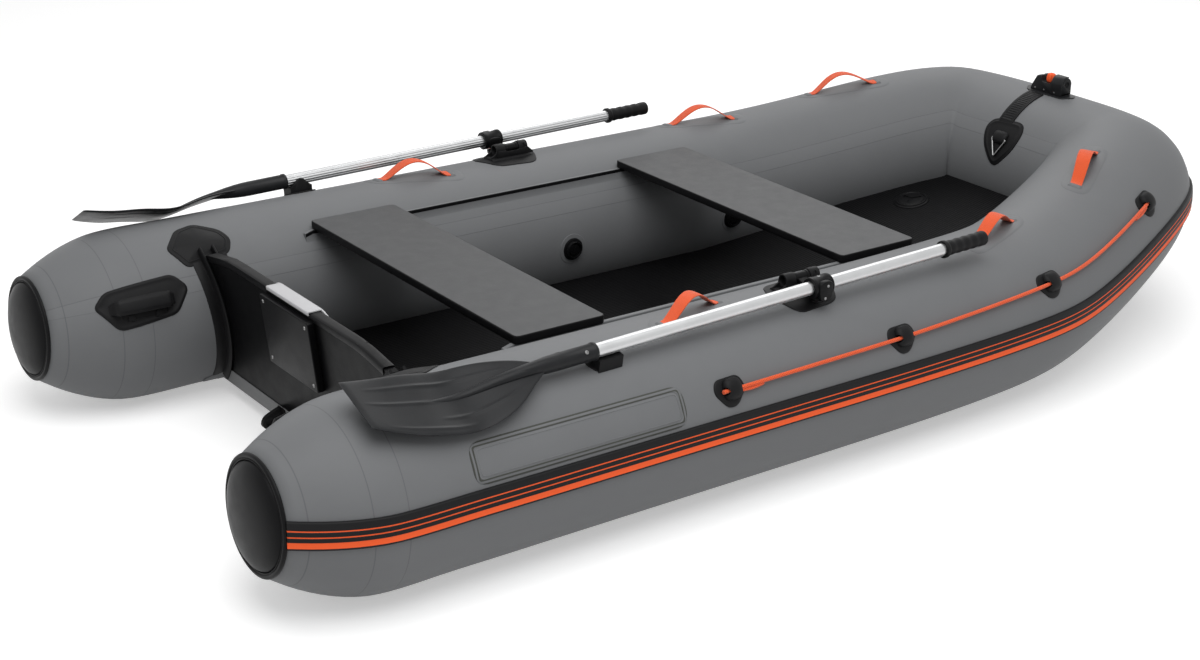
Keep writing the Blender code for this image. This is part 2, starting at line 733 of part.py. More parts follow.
def board_point(y, z, aft=0.0):
    """A point on the board's middle plane at a height, or aft of the plane."""
    slope = math.tan(TRANSOM_RAKE)
    x = TRANSOM_X - slope * (z - TUBE_RADIUS) - aft / math.cos(TRANSOM_RAKE)
    return Vector((x, y, z))


def board_slab(outline, fore, aft):
    """An outline in (y, z) given as a slab along the raked board, from fore to aft of its middle."""
    return loft([[board_point(y, z, offset) for y, z in outline] for offset in (fore, aft)])


def board_outline():
    """Half of the board's outline from its lower middle to its top middle, then mirrored."""
    corner_y, corner_z = BOARD_CORNER
    seat = TUBE_RADIUS + PATCH + 2 * GAP
    rises = (-TRANSOM_DEPTH, corner_z - TUBE_RADIUS)
    low, high = [math.asin(rise / seat) for rise in rises]
    reach = seat / math.cos((high - low) / 2 / BOARD_STEPS)
    low, high = [math.asin(rise / reach) for rise in rises]
    side = []
    for k in range(BOARD_STEPS + 1):
        turn = mix(low, high, k / BOARD_STEPS)
        y = min(TUBE_SPREAD - reach * math.cos(turn), corner_y)
        side.append((y, TUBE_RADIUS + reach * math.sin(turn)))
    half = side + [(BOARD_FLAT, TRANSOM_TOP)]
    return half + [(-y, z) for y, z in reversed(half)]


def transom_trim():
    """A channel over the board's top edge."""
    inner = TRANSOM_THICKNESS / 2 + GAP
    outer = inner + TRIM_WALL
    corner_y, corner_z = BOARD_CORNER
    share = HOLDER_RIB / (corner_y - BOARD_FLAT)
    path = [(corner_y - HOLDER_RIB, mix(corner_z, TRANSOM_TOP, share)), (BOARD_FLAT, TRANSOM_TOP)]
    path += [(-y, z) for y, z in reversed(path)]
    section = ((-outer, TRIM_WALL), (outer, TRIM_WALL), (outer, -TRIM_DEPTH), (inner, -TRIM_DEPTH),
               (inner, GAP), (-inner, GAP), (-inner, -TRIM_DEPTH), (-outer, -TRIM_DEPTH))
    return loft([[board_point(y, z, aft) + board_up() * up for aft, up in section]
                 for y, z in path])


def motor_plate():
    """The plate that takes the motor's clamps, on the board's aft face."""
    half = PLATE_WIDTH / 2
    top = TRANSOM_TOP - TRIM_DEPTH - 2 * GAP
    aft = TRANSOM_THICKNESS / 2 + GAP
    bottom = top - PLATE_HEIGHT
    corners = ((half, bottom), (half, top), (-half, top), (-half, bottom))
    outline = rounded(corners, PLATE_CORNER, 2)
    return board_slab(outline, aft, aft + PLATE_THICKNESS)


def motor_pad():
    """A plastic saddle over the trim, with a longer flange on the cockpit side."""
    inner = TRANSOM_THICKNESS / 2 + TRIM_WALL + 2 * GAP
    outer = inner + PAD_WALL
    low = TRIM_WALL + GAP
    section = ((-outer, low + PAD_WALL), (outer, low + PAD_WALL), (outer, -PAD_LIP),
               (inner, -PAD_LIP), (inner, low), (-inner, low), (-inner, -PAD_DEPTH),
               (-outer, -PAD_DEPTH))
    saddle = loft([[board_point(y, TRANSOM_TOP, aft) + board_up() * up for aft, up in section]
                   for y in (PAD_HALF_WIDTH, -PAD_HALF_WIDTH)])
    reach = PAD_FLANGE_HALF_WIDTH
    top = TRANSOM_TOP + low + PAD_WALL
    corners = ((reach, TRANSOM_TOP - PAD_SHOULDER), (PAD_HALF_WIDTH, top), (-PAD_HALF_WIDTH, top),
               (-reach, TRANSOM_TOP - PAD_SHOULDER), (-reach + PAD_SLANT, TRANSOM_TOP - PAD_DEPTH),
               (reach - PAD_SLANT, TRANSOM_TOP - PAD_DEPTH))
    flange = board_slab(rounded(corners, PAD_CORNER, 2), -outer, -inner)
    return union(saddle, flange)


def transom_holder():
    """A rubber channel up the tube that grips the board's edge, with a patch over its top end."""
    wall = TRANSOM_THICKNESS / 2 / math.cos(TRANSOM_RAKE) + GAP
    outer = wall + HOLDER_RIB_WALL
    base = GAP + PATCH
    section = ((-HOLDER_HALF_WIDTH, GAP), (HOLDER_HALF_WIDTH, GAP), (HOLDER_HALF_WIDTH, base),
               (outer, base), (outer, base + HOLDER_RIB), (wall, base + HOLDER_RIB), (wall, base),
               (-wall, base), (-wall, base + HOLDER_RIB), (-outer, base + HOLDER_RIB),
               (-outer, base), (-HOLDER_HALF_WIDTH, base))
    low, high = HOLDER_ANGLES
    facets = [k * FACET for k in range(math.ceil(low / FACET), math.floor(high / FACET) + 1)]
    rings = []
    for angle in [low] + facets + [high]:
        ring = []
        for along, lift in section:
            height = TUBE_RADIUS + (TUBE_RADIUS + lift) * math.sin(math.radians(angle))
            ring.append(on_skin(board_point(0.0, height).x + along, angle, lift))
        rings.append(ring)
    outline = rounded([(x, girth(angle)) for x, angle in HOLDER_PATCH], PATCH_CORNER)
    return union(loft(rings), on_skin_sheet(outline, PATCH))


# Valves

def valve(station, angle):
    """A round filler valve with a raised cap, set on a tube."""
    point = on_skin(station, angle, VALVE_LIFT)
    centre, *_ = hull_frame(station)
    profile = ((0, 0), (VALVE_RADIUS, 0), (VALVE_RADIUS, VALVE_FLANGE),
               (VALVE_RADIUS * 0.8, VALVE_FLANGE * 1.5), (VALVE_RADIUS * 0.72, VALVE_HEIGHT),
               (0, VALVE_HEIGHT))
    return aim(lathe(profile, 24), point, point - centre)


def deck_height(x):
    """Height of the deck's top face at a place along the boat."""
    edges = [deck_edge(station) for station in deck_stations()]
    xs = [edge[0] for edge in edges]
    tops = [edge[2] for edge in edges]
    return float(np.interp(x, xs, tops))


def deck_valve():
    x, y = DECK_VALVE
    aft, fore = deck_height(x - DECK_VALVE_RADIUS), deck_height(x + DECK_VALVE_RADIUS)
    along = Vector((2 * DECK_VALVE_RADIUS, 0, fore - aft))
    up = along.cross(Vector((0, 1, 0))).normalized()
    origin = Vector((x, y, deck_height(x))) + up * VALVE_LIFT
    profile = ((0, 0), (DECK_VALVE_RADIUS, 0), (DECK_VALVE_RADIUS, DECK_VALVE_HEIGHT / 3),
               (DECK_VALVE_RADIUS * 0.9, DECK_VALVE_HEIGHT), (0, DECK_VALVE_HEIGHT))
    return aim(lathe(profile, 28), origin, up, (1, 0, 0))


# Lifelines

def rope_point(station):
    stations = [eye[0] for eye in EYES]
    angles = [eye[1] for eye in EYES]
    return on_tube(station, float(np.interp(station, stations, angles)), ROPE_LIFT)


def lifeline(side):
    """A rope pulled taut through the eyes of one side."""
    first, last = EYES[0][0] - ROPE_TAIL, EYES[-1][0] + ROPE_TAIL
    curve = bpy.data.curves.new("lifeline", "CURVE")
    curve.dimensions = "3D"
    curve.bevel_depth = ROPE_RADIUS
    curve.bevel_resolution = 2
    curve.use_fill_caps = True
    spline = curve.splines.new("POLY")
    spline.points.add(ROPE_POINTS - 1)
    for k, point in enumerate(spline.points):
        x, y, z = rope_point(mix(first, last, k / (ROPE_POINTS - 1)))
        point.co = (x, y * side, z, 1.0)
    return curve


def line_eye(station, angle):
    """A shield-shaped rubber patch with a bridge that the rope runs under."""
    corners = [(station + along, girth(angle) + around) for along, around in EYE_OUTLINE]
    patch = on_skin_sheet(rounded(corners, PATCH_CORNER, 2), PATCH)
    half = EYE_BRIDGE_LENGTH / 2
    top = ROPE_LIFT + ROPE_RADIUS + PLAY + EYE_BRIDGE_ROOF
    section = ((-EYE_BRIDGE_FOOT / 2, GAP + PATCH / 2), (EYE_BRIDGE_FOOT / 2, GAP + PATCH / 2),
               (EYE_BRIDGE_TOP / 2, top), (-EYE_BRIDGE_TOP / 2, top))
    bridge = loft([[on_tube(station + along, angle + angle_at(around), lift)
                    for around, lift in section] for along in (-half, half)])
    back, ahead = rope_point(station - half), rope_point(station + half)
    middle, run = (back + ahead) / 2, Vector(ahead - back)
    bore = cylinder(ROPE_RADIUS + PLAY, -half * 1.5, half * 1.5, 10)
    return difference(union(patch, bridge), aim(bore, middle, run))


# Handles

def arch(aft, fore, height, foot, steps):
    """Points (station, height) of a strap that lies flat at both ends and swells between them."""
    swell = [(mix(aft + foot, fore - foot, k / steps),
              height * max(0.0, math.sin(math.pi * k / steps)) ** GRAB_FLARE)
             for k in range(steps + 1)]
    return [(aft, 0.0), *swell, (fore, 0.0)]


def strap_solid(points, thickness, width, angle_of, lift):
    """A flat strap along points of (station, height), as wide around the tube as given."""
    rings = []
    half = angle_at(width / 2)
    for k, (station, height) in enumerate(points):
        before, after = points[max(k - 1, 0)], points[min(k + 1, len(points) - 1)]
        run = Vector((after[0] - before[0], after[1] - before[1])).normalized()
        shift = Vector((-run.y, run.x)) * thickness
        across = [angle_of(station) + half * share for share in (-1, 0, 1)]
        rings.append([on_skin(station, angle, lift + height) for angle in across]
                     + [on_skin(station + shift.x, angle, lift + height + shift.y)
                        for angle in reversed(across)])
    return loft(rings)


def grab_handle(aft, fore):
    points = arch(aft[0], fore[0], GRAB_HEIGHT, GRAB_FOOT, GRAB_STEPS)

    def angle_of(station):
        return mix(aft[1], fore[1], (station - aft[0]) / (fore[0] - aft[0]))

    return strap_solid(points, GRAB_THICKNESS, GRAB_WIDTH, angle_of, GRAB_LIFT)


def lift_handle():
    """A moulded grip on a six-sided patch, with room for the fingers behind its bar."""
    corners = [(station, girth(angle)) for station, angle in LIFT_OUTLINE]
    patch = on_skin_sheet(rounded(corners, PATCH_CORNER), PATCH)
    aft, fore = LIFT_BAR
    low = PATCH / 2
    half_up = LIFT_BAR_RISE * 0.7
    points = ((aft, low), (aft + LIFT_BAR_SLANT, half_up), (aft + LIFT_BAR_BEND, LIFT_BAR_RISE),
              ((aft + fore) / 2, LIFT_BAR_RISE), (fore - LIFT_BAR_BEND, LIFT_BAR_RISE),
              (fore - LIFT_BAR_SLANT, half_up), (fore, low))
    bar = strap_solid(points, LIFT_BAR_THICKNESS, LIFT_BAR_WIDTH, lambda _: LIFT_BAR_ANGLE, GAP)
    return union(patch, bar)


# Oars and oarlocks

def oar_axis(x):
    return Vector((x, OAR_SPREAD - OAR_TOE_IN * x, OAR_HEIGHT + OAR_CLIMB * x))


OAR_RUN = (oar_axis(1.0) - oar_axis(0.0)).normalized()
LOCK_CENTRE = oar_axis(LOCK_X)
BARREL_AXIS = Vector((LOCK_X, BARREL_Y, BARREL_Z))
PIN_UP = Vector((0.0, math.sin(PIN_TILT), math.cos(PIN_TILT)))


def oar_shaft():
    start = oar_axis(SLEEVE_X) - OAR_RUN * (SLEEVE_BORE - GAP)
    end = oar_axis(GRIP_FORE) - OAR_RUN * (GRIP_END_WALL + GAP)
    return aim(cylinder(SHAFT_RADIUS, 0, (end - start).length, SHAFT_SIDES), start, OAR_RUN)


def oar_grip():
    length = (oar_axis(GRIP_FORE) - oar_axis(GRIP_AFT)).length
    bore = SHAFT_RADIUS + BORE_PLAY
    profile = ((0, length), (GRIP_RADIUS - GRIP_CHAMFER, length),
               (GRIP_RADIUS, length - GRIP_CHAMFER), (GRIP_RADIUS, GRIP_LIP_LENGTH + GRIP_CHAMFER),
               (GRIP_LIP, GRIP_LIP_LENGTH), (GRIP_LIP, 0), (bore, 0),
               (bore, length - GRIP_END_WALL), (0, length - GRIP_END_WALL))
    return aim(lathe(profile, SHAFT_SIDES), oar_axis(GRIP_AFT), OAR_RUN)


def edge_at(edge, share):
    """A point of a blade edge; shares are spread evenly over the length along the oar."""
    along = mix(edge[0][0], edge[-1][0], share)
    across = float(np.interp(along, [s for s, _ in edge], [t for _, t in edge]))
    return along, across


def spoon(along):
    """How far the blade's face dips or rises, on a smooth curve through its points."""
    knots = [s for s, _ in BLADE_SPOON]
    heights = [h for _, h in BLADE_SPOON]
    k = min(max(bisect.bisect_right(knots, along), 1), len(knots) - 1)
    share = (along - knots[k - 1]) / (knots[k] - knots[k - 1])
    smooth = share * share * (3 - 2 * share)
    return mix(heights[k - 1], heights[k], smooth)


def oar_blade():
    """The plastic blade with its sleeve, which takes the end of the shaft."""
    back = -OAR_RUN
    across = Vector((0.0, math.cos(BLADE_TILT), -math.sin(BLADE_TILT)))
    across = (across - back * across.dot(back)).normalized()
    face = across.cross(back)
    if face.z < 0:
        face = -face
    start = oar_axis(SLEEVE_X)
    rings = []
    for row in range(BLADE_ROWS + 1):
        share = row / BLADE_ROWS
        inner, outer = edge_at(BLADE_INNER, share), edge_at(BLADE_OUTER, share)
        columns = [mix(Vector(inner), Vector(outer), k / BLADE_COLUMNS)
                   for k in range(BLADE_COLUMNS + 1)]
        half = BLADE_THICKNESS / 2
        ring = []
        for sign, places in ((1, columns), (-1, reversed(columns))):
            for along, t in places:
                ring.append(start + back * along + across * t + face * (spoon(along) + sign * half))
        rings.append(ring)
    bore = SHAFT_RADIUS + BORE_PLAY
    lip = SLEEVE_RADIUS + SLEEVE_LIP
    profile = ((0, SLEEVE_BORE), (bore, SLEEVE_BORE), (bore, 0), (lip, 0), (lip, SLEEVE_LIP_LENGTH),
               (SLEEVE_RADIUS, SLEEVE_LIP_LENGTH + SLEEVE_LIP), (SLEEVE_RADIUS, SLEEVE_TAPER_START),
               (SLEEVE_TIP_RADIUS, SLEEVE_LENGTH), (0, SLEEVE_LENGTH))
    sleeve = aim(lathe(profile, SHAFT_SIDES), start, back)
    return union(sleeve, loft(rings))


def skin_height(y, lift):
    """Height of the upper side of a side tube, or of a surface lift metres off it."""
    return TUBE_RADIUS + math.sqrt((TUBE_RADIUS + lift) ** 2 - (y - TUBE_SPREAD) ** 2)


def oarlock_base():
    """A patch with a saddle and two cheeks that carry the swivel's barrel."""
    outline = rounded([(station, girth(angle)) for station, angle in LOCK_PATCH], PATCH_CORNER)
    base = on_skin_sheet(outline, PATCH)
    foot = PATCH / 2 + GAP
    low, high = BARREL_Y - SADDLE_HALF_WIDTH, BARREL_Y + SADDLE_HALF_WIDTH
    level = BARREL_Z - BARREL_RADIUS - SADDLE_DROP
    saddle = ((low, skin_height(low, foot)), (low + SADDLE_SLOPE, level),
              (high - SADDLE_SLOPE, level), (high, skin_height(high, foot)),
              (BARREL_Y, skin_height(BARREL_Y, foot)))
    shapes = [loft([[(x, y, z) for y, z in saddle] for x in SADDLE])]
    for start, end in CHEEKS:
        turns = [math.radians(18 * k) for k in range(11)]
        outline = [(BARREL_Y + CHEEK_RADIUS * math.cos(turn), BARREL_Z + CHEEK_RADIUS * math.sin(turn))
                   for turn in turns]
        outline += [(BARREL_Y - CHEEK_RADIUS - CHEEK_FLARE, level - CHEEK_SINK),
                    (BARREL_Y + CHEEK_RADIUS + CHEEK_FLARE, level - CHEEK_SINK)]
        shapes.append(loft([[(x, y, z) for y, z in outline] for x in (start, end)]))
    reach = TRUNNION_LENGTH + 2 * GAP
    hole = cylinder(TRUNNION_RADIUS + BORE_PLAY, CHEEKS[0][1] - reach, CHEEKS[1][0] + reach, 12)
    aim(hole, (0.0, BARREL_Y, BARREL_Z), (1, 0, 0))
    return difference(union(base, *shapes), hole)


def oarlock_swivel():
    """A barrel between the cheeks, and an arm under the shaft whose eye takes the collar's pin."""
    low, high = CHEEKS[0][1] + GAP, CHEEKS[1][0] - GAP
    profile = ((0, low - TRUNNION_LENGTH), (TRUNNION_RADIUS, low - TRUNNION_LENGTH),
               (TRUNNION_RADIUS, low), (BARREL_RADIUS, low), (BARREL_RADIUS, high),
               (TRUNNION_RADIUS, high), (TRUNNION_RADIUS, high + TRUNNION_LENGTH),
               (0, high + TRUNNION_LENGTH))
    barrel = aim(lathe(profile, 16), (0.0, BARREL_Y, BARREL_Z), (1, 0, 0))
    eye_top = COLLAR_RADIUS + BOSS_STEP + GAP
    eye_low = eye_top + LOCK_EYE_HEIGHT
    eye = aim(cylinder(LOCK_EYE_RADIUS, -eye_low, -eye_top, 16), LOCK_CENTRE, PIN_UP, (1, 0, 0))
    seat = LOCK_CENTRE - PIN_UP * (eye_top + LOCK_EYE_HEIGHT / 2)
    middle = (low + high) / 2
    start = Vector((middle, BARREL_Y, BARREL_Z - ARM_ROOT_DROP))
    end = Vector((middle, seat.y, seat.z))
    run = (end - start).normalized()
    up = Vector((0, -run.z, run.y))
    half = LOCK_ARM_WIDTH / 2
    rings = []
    for place, rise in ((start, ARM_ROOT / 2), (end, LOCK_EYE_HEIGHT / 2 - ARM_INSET)):
        rings.append([place + Vector((along, 0, 0)) + up * height for along, height in
                      ((-half, -rise), (half, -rise), (half, rise), (-half, rise))])
    hole = cylinder(PIN_RADIUS + BORE_PLAY, -eye_low - PIN_RADIUS, -eye_top + PIN_RADIUS, 12)
    aim(hole, LOCK_CENTRE, PIN_UP, (1, 0, 0))
    return difference(union(barrel, loft(rings), eye), hole)


def oar_collar():
    """A ring clamped on the shaft, with a boss and a headed pin below it."""
    bore = SHAFT_RADIUS + BORE_PLAY
    half = COLLAR_LENGTH / 2
    ring = []
    for turn in range(SHAFT_SIDES):
        lean = 2 * math.pi * turn / SHAFT_SIDES
        ring.append([(radius * math.cos(lean), radius * math.sin(lean), height)
                     for radius, height in ((bore, -half), (COLLAR_RADIUS, -half),
                                            (COLLAR_RADIUS, half), (bore, half))])
    collar = aim(loft(ring, loop=True), LOCK_CENTRE, OAR_RUN)
    boss = COLLAR_RADIUS + BOSS_STEP
    eye = boss + 2 * GAP + LOCK_EYE_HEIGHT
    root = (bore + COLLAR_RADIUS) / 2
    profile = ((0, -eye - PIN_HEAD_HEIGHT), (PIN_HEAD_RADIUS, -eye - PIN_HEAD_HEIGHT),
               (PIN_HEAD_RADIUS, -eye), (PIN_RADIUS, -eye), (PIN_RADIUS, -boss), (BOSS_RADIUS, -boss),
               (BOSS_RADIUS, -root), (0, -root))
    return union(collar, aim(lathe(profile, 12), LOCK_CENTRE, PIN_UP, (1, 0, 0)))


def oar_clip():
    """A patch with a cradle below the shaft and a prong on its inboard side."""
    centre = oar_axis(CLIP_X)
    lean = math.degrees(math.atan2(centre.z - TUBE_RADIUS, TUBE_SPREAD - centre.y))
    corners = [(CLIP_X + along, girth(lean) + around) for along, around in CLIP_OUTLINE]
    patch = on_skin_sheet(rounded(corners, PATCH_CORNER), PATCH)
    reach = SHAFT_RADIUS + CLIP_PLAY
    turns = [math.radians(turn) for turn in CLIP_CRADLE]
    cradle = [(reach * math.cos(turn), reach * math.sin(turn)) for turn in turns]
    slope = (CLIP_LIP - cradle[-1][0]) * math.tan(PIN_TILT)
    lip = cradle[-1][1] - slope - CLIP_LIP_DROP
    foot = PATCH / 2 + GAP
    back = -reach - CLIP_WALL
    inner = back - CLIP_FLARE
    outline = [(-reach, CLIP_PRONG)] + cradle + [
        (CLIP_LIP, lip), (CLIP_LIP + CLIP_FLARE / 2, lip - CLIP_LIP_WALL),
        (CLIP_FOOT, skin_height(centre.y + CLIP_FOOT, foot) - centre.z),
        (inner, skin_height(centre.y + inner, foot) - centre.z), (back, CLIP_PRONG - CLIP_FLARE),
        (-reach - CLIP_WALL / 2, CLIP_PRONG + CLIP_FLARE / 2)]
    half = CLIP_LENGTH / 2
    cradle_block = loft([[centre + OAR_RUN * along + Vector((0, y, z)) for y, z in outline]
                         for along in (-half, half)])
    return union(patch, cradle_block)


# Bow fittings

def bow_station(y):
    return BOW - y


def bow_point(y, angle, lift=0.0):
    return Vector(on_tube(bow_station(y), angle, lift))


def ring_points():
    """The triangular ring's corners: the two ends of its bar, then its low corner."""
    half = RING_WIDTH / 2
    low = RING_ANGLE - angle_at(RING_DROP)
    return [bow_point(RING_PATCH_Y + half, RING_ANGLE, RING_LIFT),
            bow_point(RING_PATCH_Y - half, RING_ANGLE, RING_LIFT),
            bow_point(RING_PATCH_Y, low, RING_LIFT - RING_LEAN)]


def ring_bar():
    port, starboard, _ = ring_points()
    return (port + starboard) / 2


def bow_ring_patch():
    """A heart-shaped patch with a hood over the ring's bar, and a strap up to the lock."""
    corners = [(bow_station(RING_PATCH_Y + y), girth(angle)) for y, angle in RING_PATCH_OUTLINE]
    patch = on_skin_sheet(rounded(corners, PATCH_CORNER), PATCH)
    half = STRAP_WIDTH / 2
    low, high = STRAP_ANGLES
    corners = [(bow_station(STRAP_Y + y), girth(angle))
               for y, angle in ((-half, low), (half, low), (half, high), (-half, high))]
    strap = on_skin_sheet(corners, STRAP_THICKNESS)
    section = ((-HOOD_FOOT / 2, GAP + PATCH / 2), (HOOD_FOOT / 2, GAP + PATCH / 2),
               (HOOD_FOOT / 4, HOOD_TOP), (-HOOD_FOOT / 4, HOOD_TOP))
    hood = loft([[bow_point(RING_PATCH_Y + y, RING_ANGLE + angle_at(around), lift)
                  for around, lift in section] for y in (HOOD_WIDTH / 2, -HOOD_WIDTH / 2)])
    hole = aim(cylinder(RING_WIRE + PLAY, -HOOD_WIDTH, HOOD_WIDTH, 10), ring_bar(), (0, 1, 0))
    return difference(union(patch, strap, hood), hole)


def bow_ring():
    """A triangle of steel wire."""
    corners = ring_points()
    rings = []
    centre = sum(corners, Vector()) / 3
    normal = (corners[1] - corners[0]).cross(corners[2] - corners[0]).normalized()
    outline = []
    for k, corner in enumerate(corners):
        back = (corners[k - 1] - corner).normalized()
        ahead = (corners[(k + 1) % 3] - corner).normalized()
        outline += [corner + back * RING_BEND, corner + (back + ahead) * RING_BEND * 0.3,
                    corner + ahead * RING_BEND]
    for k, point in enumerate(outline):
        run = (outline[(k + 1) % len(outline)] - outline[k - 1]).normalized()
        out = run.cross(normal)
        rings.append([point + (out * math.cos(turn) + normal * math.sin(turn)) * RING_WIRE
                      for turn in (math.radians(60 * j) for j in range(6))])
    return loft(rings, loop=True)


def lock_place():
    """Where the lock's housing stands, halfway down in its base patch on top of the bow."""
    top = bow_point(0.0, 90.0)
    return top.x, top.z + GAP + PATCH / 2


def bow_lock_housing():
    """A base patch, a sloping cam housing and two cheeks for the roller, on top of the bow."""
    low, high = LOCK_BASE_ANGLES
    reach = LOCK_BASE_HALF_WIDTH
    flat = reach - LOCK_BASE_SLANT
    corners = [(bow_station(y), girth(angle)) for y, angle in
               ((reach, 90.0), (flat, low), (-flat, low), (-reach, 90.0), (-flat, high), (flat, high))]
    base = on_skin_sheet(rounded(corners, PATCH_CORNER), PATCH)
    x, floor = lock_place()

    def slab(outline, depth):
        return loft([[(x + along, y, floor + z) for y, z in outline] for along in (-depth, depth)])

    port, starboard = ROLLER_SPAN
    wall, end_wall = port + ROLLER_CHEEK, starboard - ROLLER_CHEEK
    housing = HOUSING_OUTLINE + ((wall, HOUSING_WALL_HEIGHT), (wall, 0.0))
    plinth_start = wall + PLINTH_HEIGHT / 2
    plinth = ((plinth_start, 0.0), (plinth_start, PLINTH_HEIGHT), (end_wall, PLINTH_HEIGHT),
              (end_wall, 0.0))
    shapes = [slab(housing, HOUSING_HALF_DEPTH), slab(plinth, HOUSING_HALF_DEPTH)]
    turns = [math.radians(20 * k) for k in range(10)]
    size = ROLLER_RADIUS + ROLLER_CHEEK_RIM
    outline = [(size * math.cos(turn), ROLLER_HEIGHT + size * math.sin(turn)) for turn in turns]
    outline += [(-size, PLINTH_HEIGHT / 4), (size, PLINTH_HEIGHT / 4)]
    for start, end in ((wall, port), (starboard, end_wall)):
        shapes.append(loft([[(x + along, y, floor + z) for along, z in outline]
                            for y in (start, end)]))
    hole = cylinder(ROLLER_AXLE + BORE_PLAY, end_wall - ROLLER_CHEEK, port + ROLLER_PIN + PLAY, 12)
    aim(hole, (x, 0.0, floor + ROLLER_HEIGHT), (0, 1, 0))
    low, high = HOUSING_LEVEL - SCREW_DEPTH - PLAY, HOUSING_LEVEL + SCREW_DEPTH
    screw = aim(cylinder(SCREW_RADIUS + BORE_PLAY, low, high, 12), (x, KNOB_Y, floor), (0, 0, 1),
                (1, 0, 0))
    return difference(union(base, *shapes), hole, screw)


def bow_roller():
    """A waisted roller with an axle that turns in the cheeks."""
    x, floor = lock_place()
    low, high = ROLLER_SPAN[1] + GAP, ROLLER_SPAN[0] - GAP
    wide, waist = ROLLER_RADIUS, ROLLER_RADIUS - ROLLER_WAIST
    profile = ((0, low - ROLLER_CHEEK), (ROLLER_AXLE, low - ROLLER_CHEEK), (ROLLER_AXLE, low),
               (wide, low), (waist, low + ROLLER_FLANK), (waist, high - ROLLER_FLANK), (wide, high),
               (ROLLER_AXLE, high), (ROLLER_AXLE, high + ROLLER_PIN), (0, high + ROLLER_PIN))
    centre = Vector((x, 0.0, floor + ROLLER_HEIGHT))
    return aim(lathe(profile, 20), centre, (0, 1, 0)), centre


def bow_lock_knob():
    """A fluted knob on a screw."""
    x, floor = lock_place()
    base = HOUSING_LEVEL + GAP
    sides = KNOB_FLUTES * 4
    outline = []
    for k in range(sides):
        turn = 2 * math.pi * k / sides
        radius = KNOB_RADIUS + KNOB_FLUTE * (0.5 + 0.5 * math.cos(KNOB_FLUTES * turn))
        outline.append((radius * math.cos(turn), radius * math.sin(turn)))
    rings = [[(px * size, py * size, height) for px, py in outline]
             for size, height in ((0.85, base), (1.0, base + KNOB_CHAMFER),
                                  (1.0, base + KNOB_HEIGHT - KNOB_CHAMFER), (0.7, base + KNOB_HEIGHT))]
    low = HOUSING_LEVEL - SCREW_DEPTH
    knob = union(loft(rings), cylinder(SCREW_RADIUS, low, base + KNOB_CHAMFER, 12))
    return aim(knob, (x, KNOB_Y, floor), (0, 0, 1), (1, 0, 0)), (x, KNOB_Y, floor)


# Assembly

def build_hull():
    add_piece("port_side_tube", air_tube(STERN, BULKHEAD - GAP / 2), "grey_fabric")
    add_piece("starboard_side_tube", air_tube(STERN, BULKHEAD - GAP / 2), "grey_fabric", STARBOARD)
    bow = air_tube(BULKHEAD + GAP / 2, 2 * BOW - BULKHEAD - GAP / 2)
    add_piece("bow_tube", bow, "grey_fabric")
    add_piece("rub_strake", rub_strake(), "black_rubber")
    add_piece("air_deck", air_deck(), "deck_fabric")
    add_piece("bottom_fabric", bottom_fabric(), "grey_fabric")
    for side, name in SIDES:
        add_piece(name + "_stern_cap", stern_cap(), "black_rubber", side)
        add_piece(name + "_seat_rail", seat_rail(), "black_rubber", side)
        add_piece(name + "_lift_handle", lift_handle(), "black_rubber", side)
    for name, x in (("aft_seat", AFT_SEAT_X), ("fore_seat", FORE_SEAT_X)):
        seat = add_piece(name, bench(), "seat_board")
        seat.location.x = x


def build_transom():
    half = TRANSOM_THICKNESS / 2
    add_piece("transom_board", board_slab(board_outline(), -half, half), "transom_board")
    add_piece("transom_edge_trim", transom_trim(), "black_plastic")
    add_piece("motor_plate", motor_plate(), "black_plastic")
    add_piece("motor_pad", motor_pad(), "light_plastic")
    for side, name in SIDES:
        add_piece(name + "_transom_holder", transom_holder(), "black_rubber", side)


def build_fittings():
    for side, name in SIDES:
        add_piece(name + "_chamber_valve", valve(*SIDE_VALVE), "black_plastic", side)
    add_piece("bow_chamber_valve", valve(*BOW_VALVE), "black_plastic")
    add_piece("deck_valve", deck_valve(), "black_plastic")
    for side, name in SIDES:
        rope = bpy.data.objects.new(name + "_lifeline", lifeline(side))
        rope.data.materials.append(finish_material("orange_webbing"))
        bpy.context.scene.collection.objects.link(rope)
        for number, (station, angle) in enumerate(EYES, 1):
            eye = line_eye(station, angle)
            add_piece(f"{name}_line_eye_{number}", eye, "black_rubber", side)
        for place, aft, fore in GRAB_HANDLES:
            handle = grab_handle(aft, fore)
            add_piece(f"{name}_{place}_grab_handle", handle, "orange_webbing", side)


def build_oars():
    for side, name in SIDES:
        add_piece(name + "_oarlock_base", oarlock_base(), "black_plastic", side)
        add_piece(name + "_oarlock_swivel", oarlock_swivel(), "black_plastic", side, BARREL_AXIS)
        add_piece(name + "_oar_collar", oar_collar(), "black_plastic", side, LOCK_CENTRE)
        add_piece(name + "_oar_shaft", oar_shaft(), "aluminium", side, LOCK_CENTRE)
        add_piece(name + "_oar_grip", oar_grip(), "black_rubber", side, LOCK_CENTRE)
        add_piece(name + "_oar_blade", oar_blade(), "black_plastic", side, LOCK_CENTRE)
        add_piece(name + "_oar_clip", oar_clip(), "black_rubber", side)


def build_bow_fittings():
    add_piece("bow_ring_patch", bow_ring_patch(), "black_rubber")
    add_piece("bow_ring", bow_ring(), "steel", PORT, ring_bar())
    add_piece("bow_lock_housing", bow_lock_housing(), "black_plastic")
    roller, axle = bow_roller()
    add_piece("bow_roller", roller, "black_plastic", PORT, axle)
    knob, screw = bow_lock_knob()
    add_piece("bow_lock_knob", knob, "orange_plastic", PORT, screw)


def main():
    for piece in list(bpy.data.objects):
        bpy.data.objects.remove(piece)
    build_hull()
    build_transom()
    build_fittings()
    build_oars()
    build_bow_fittings()


main()
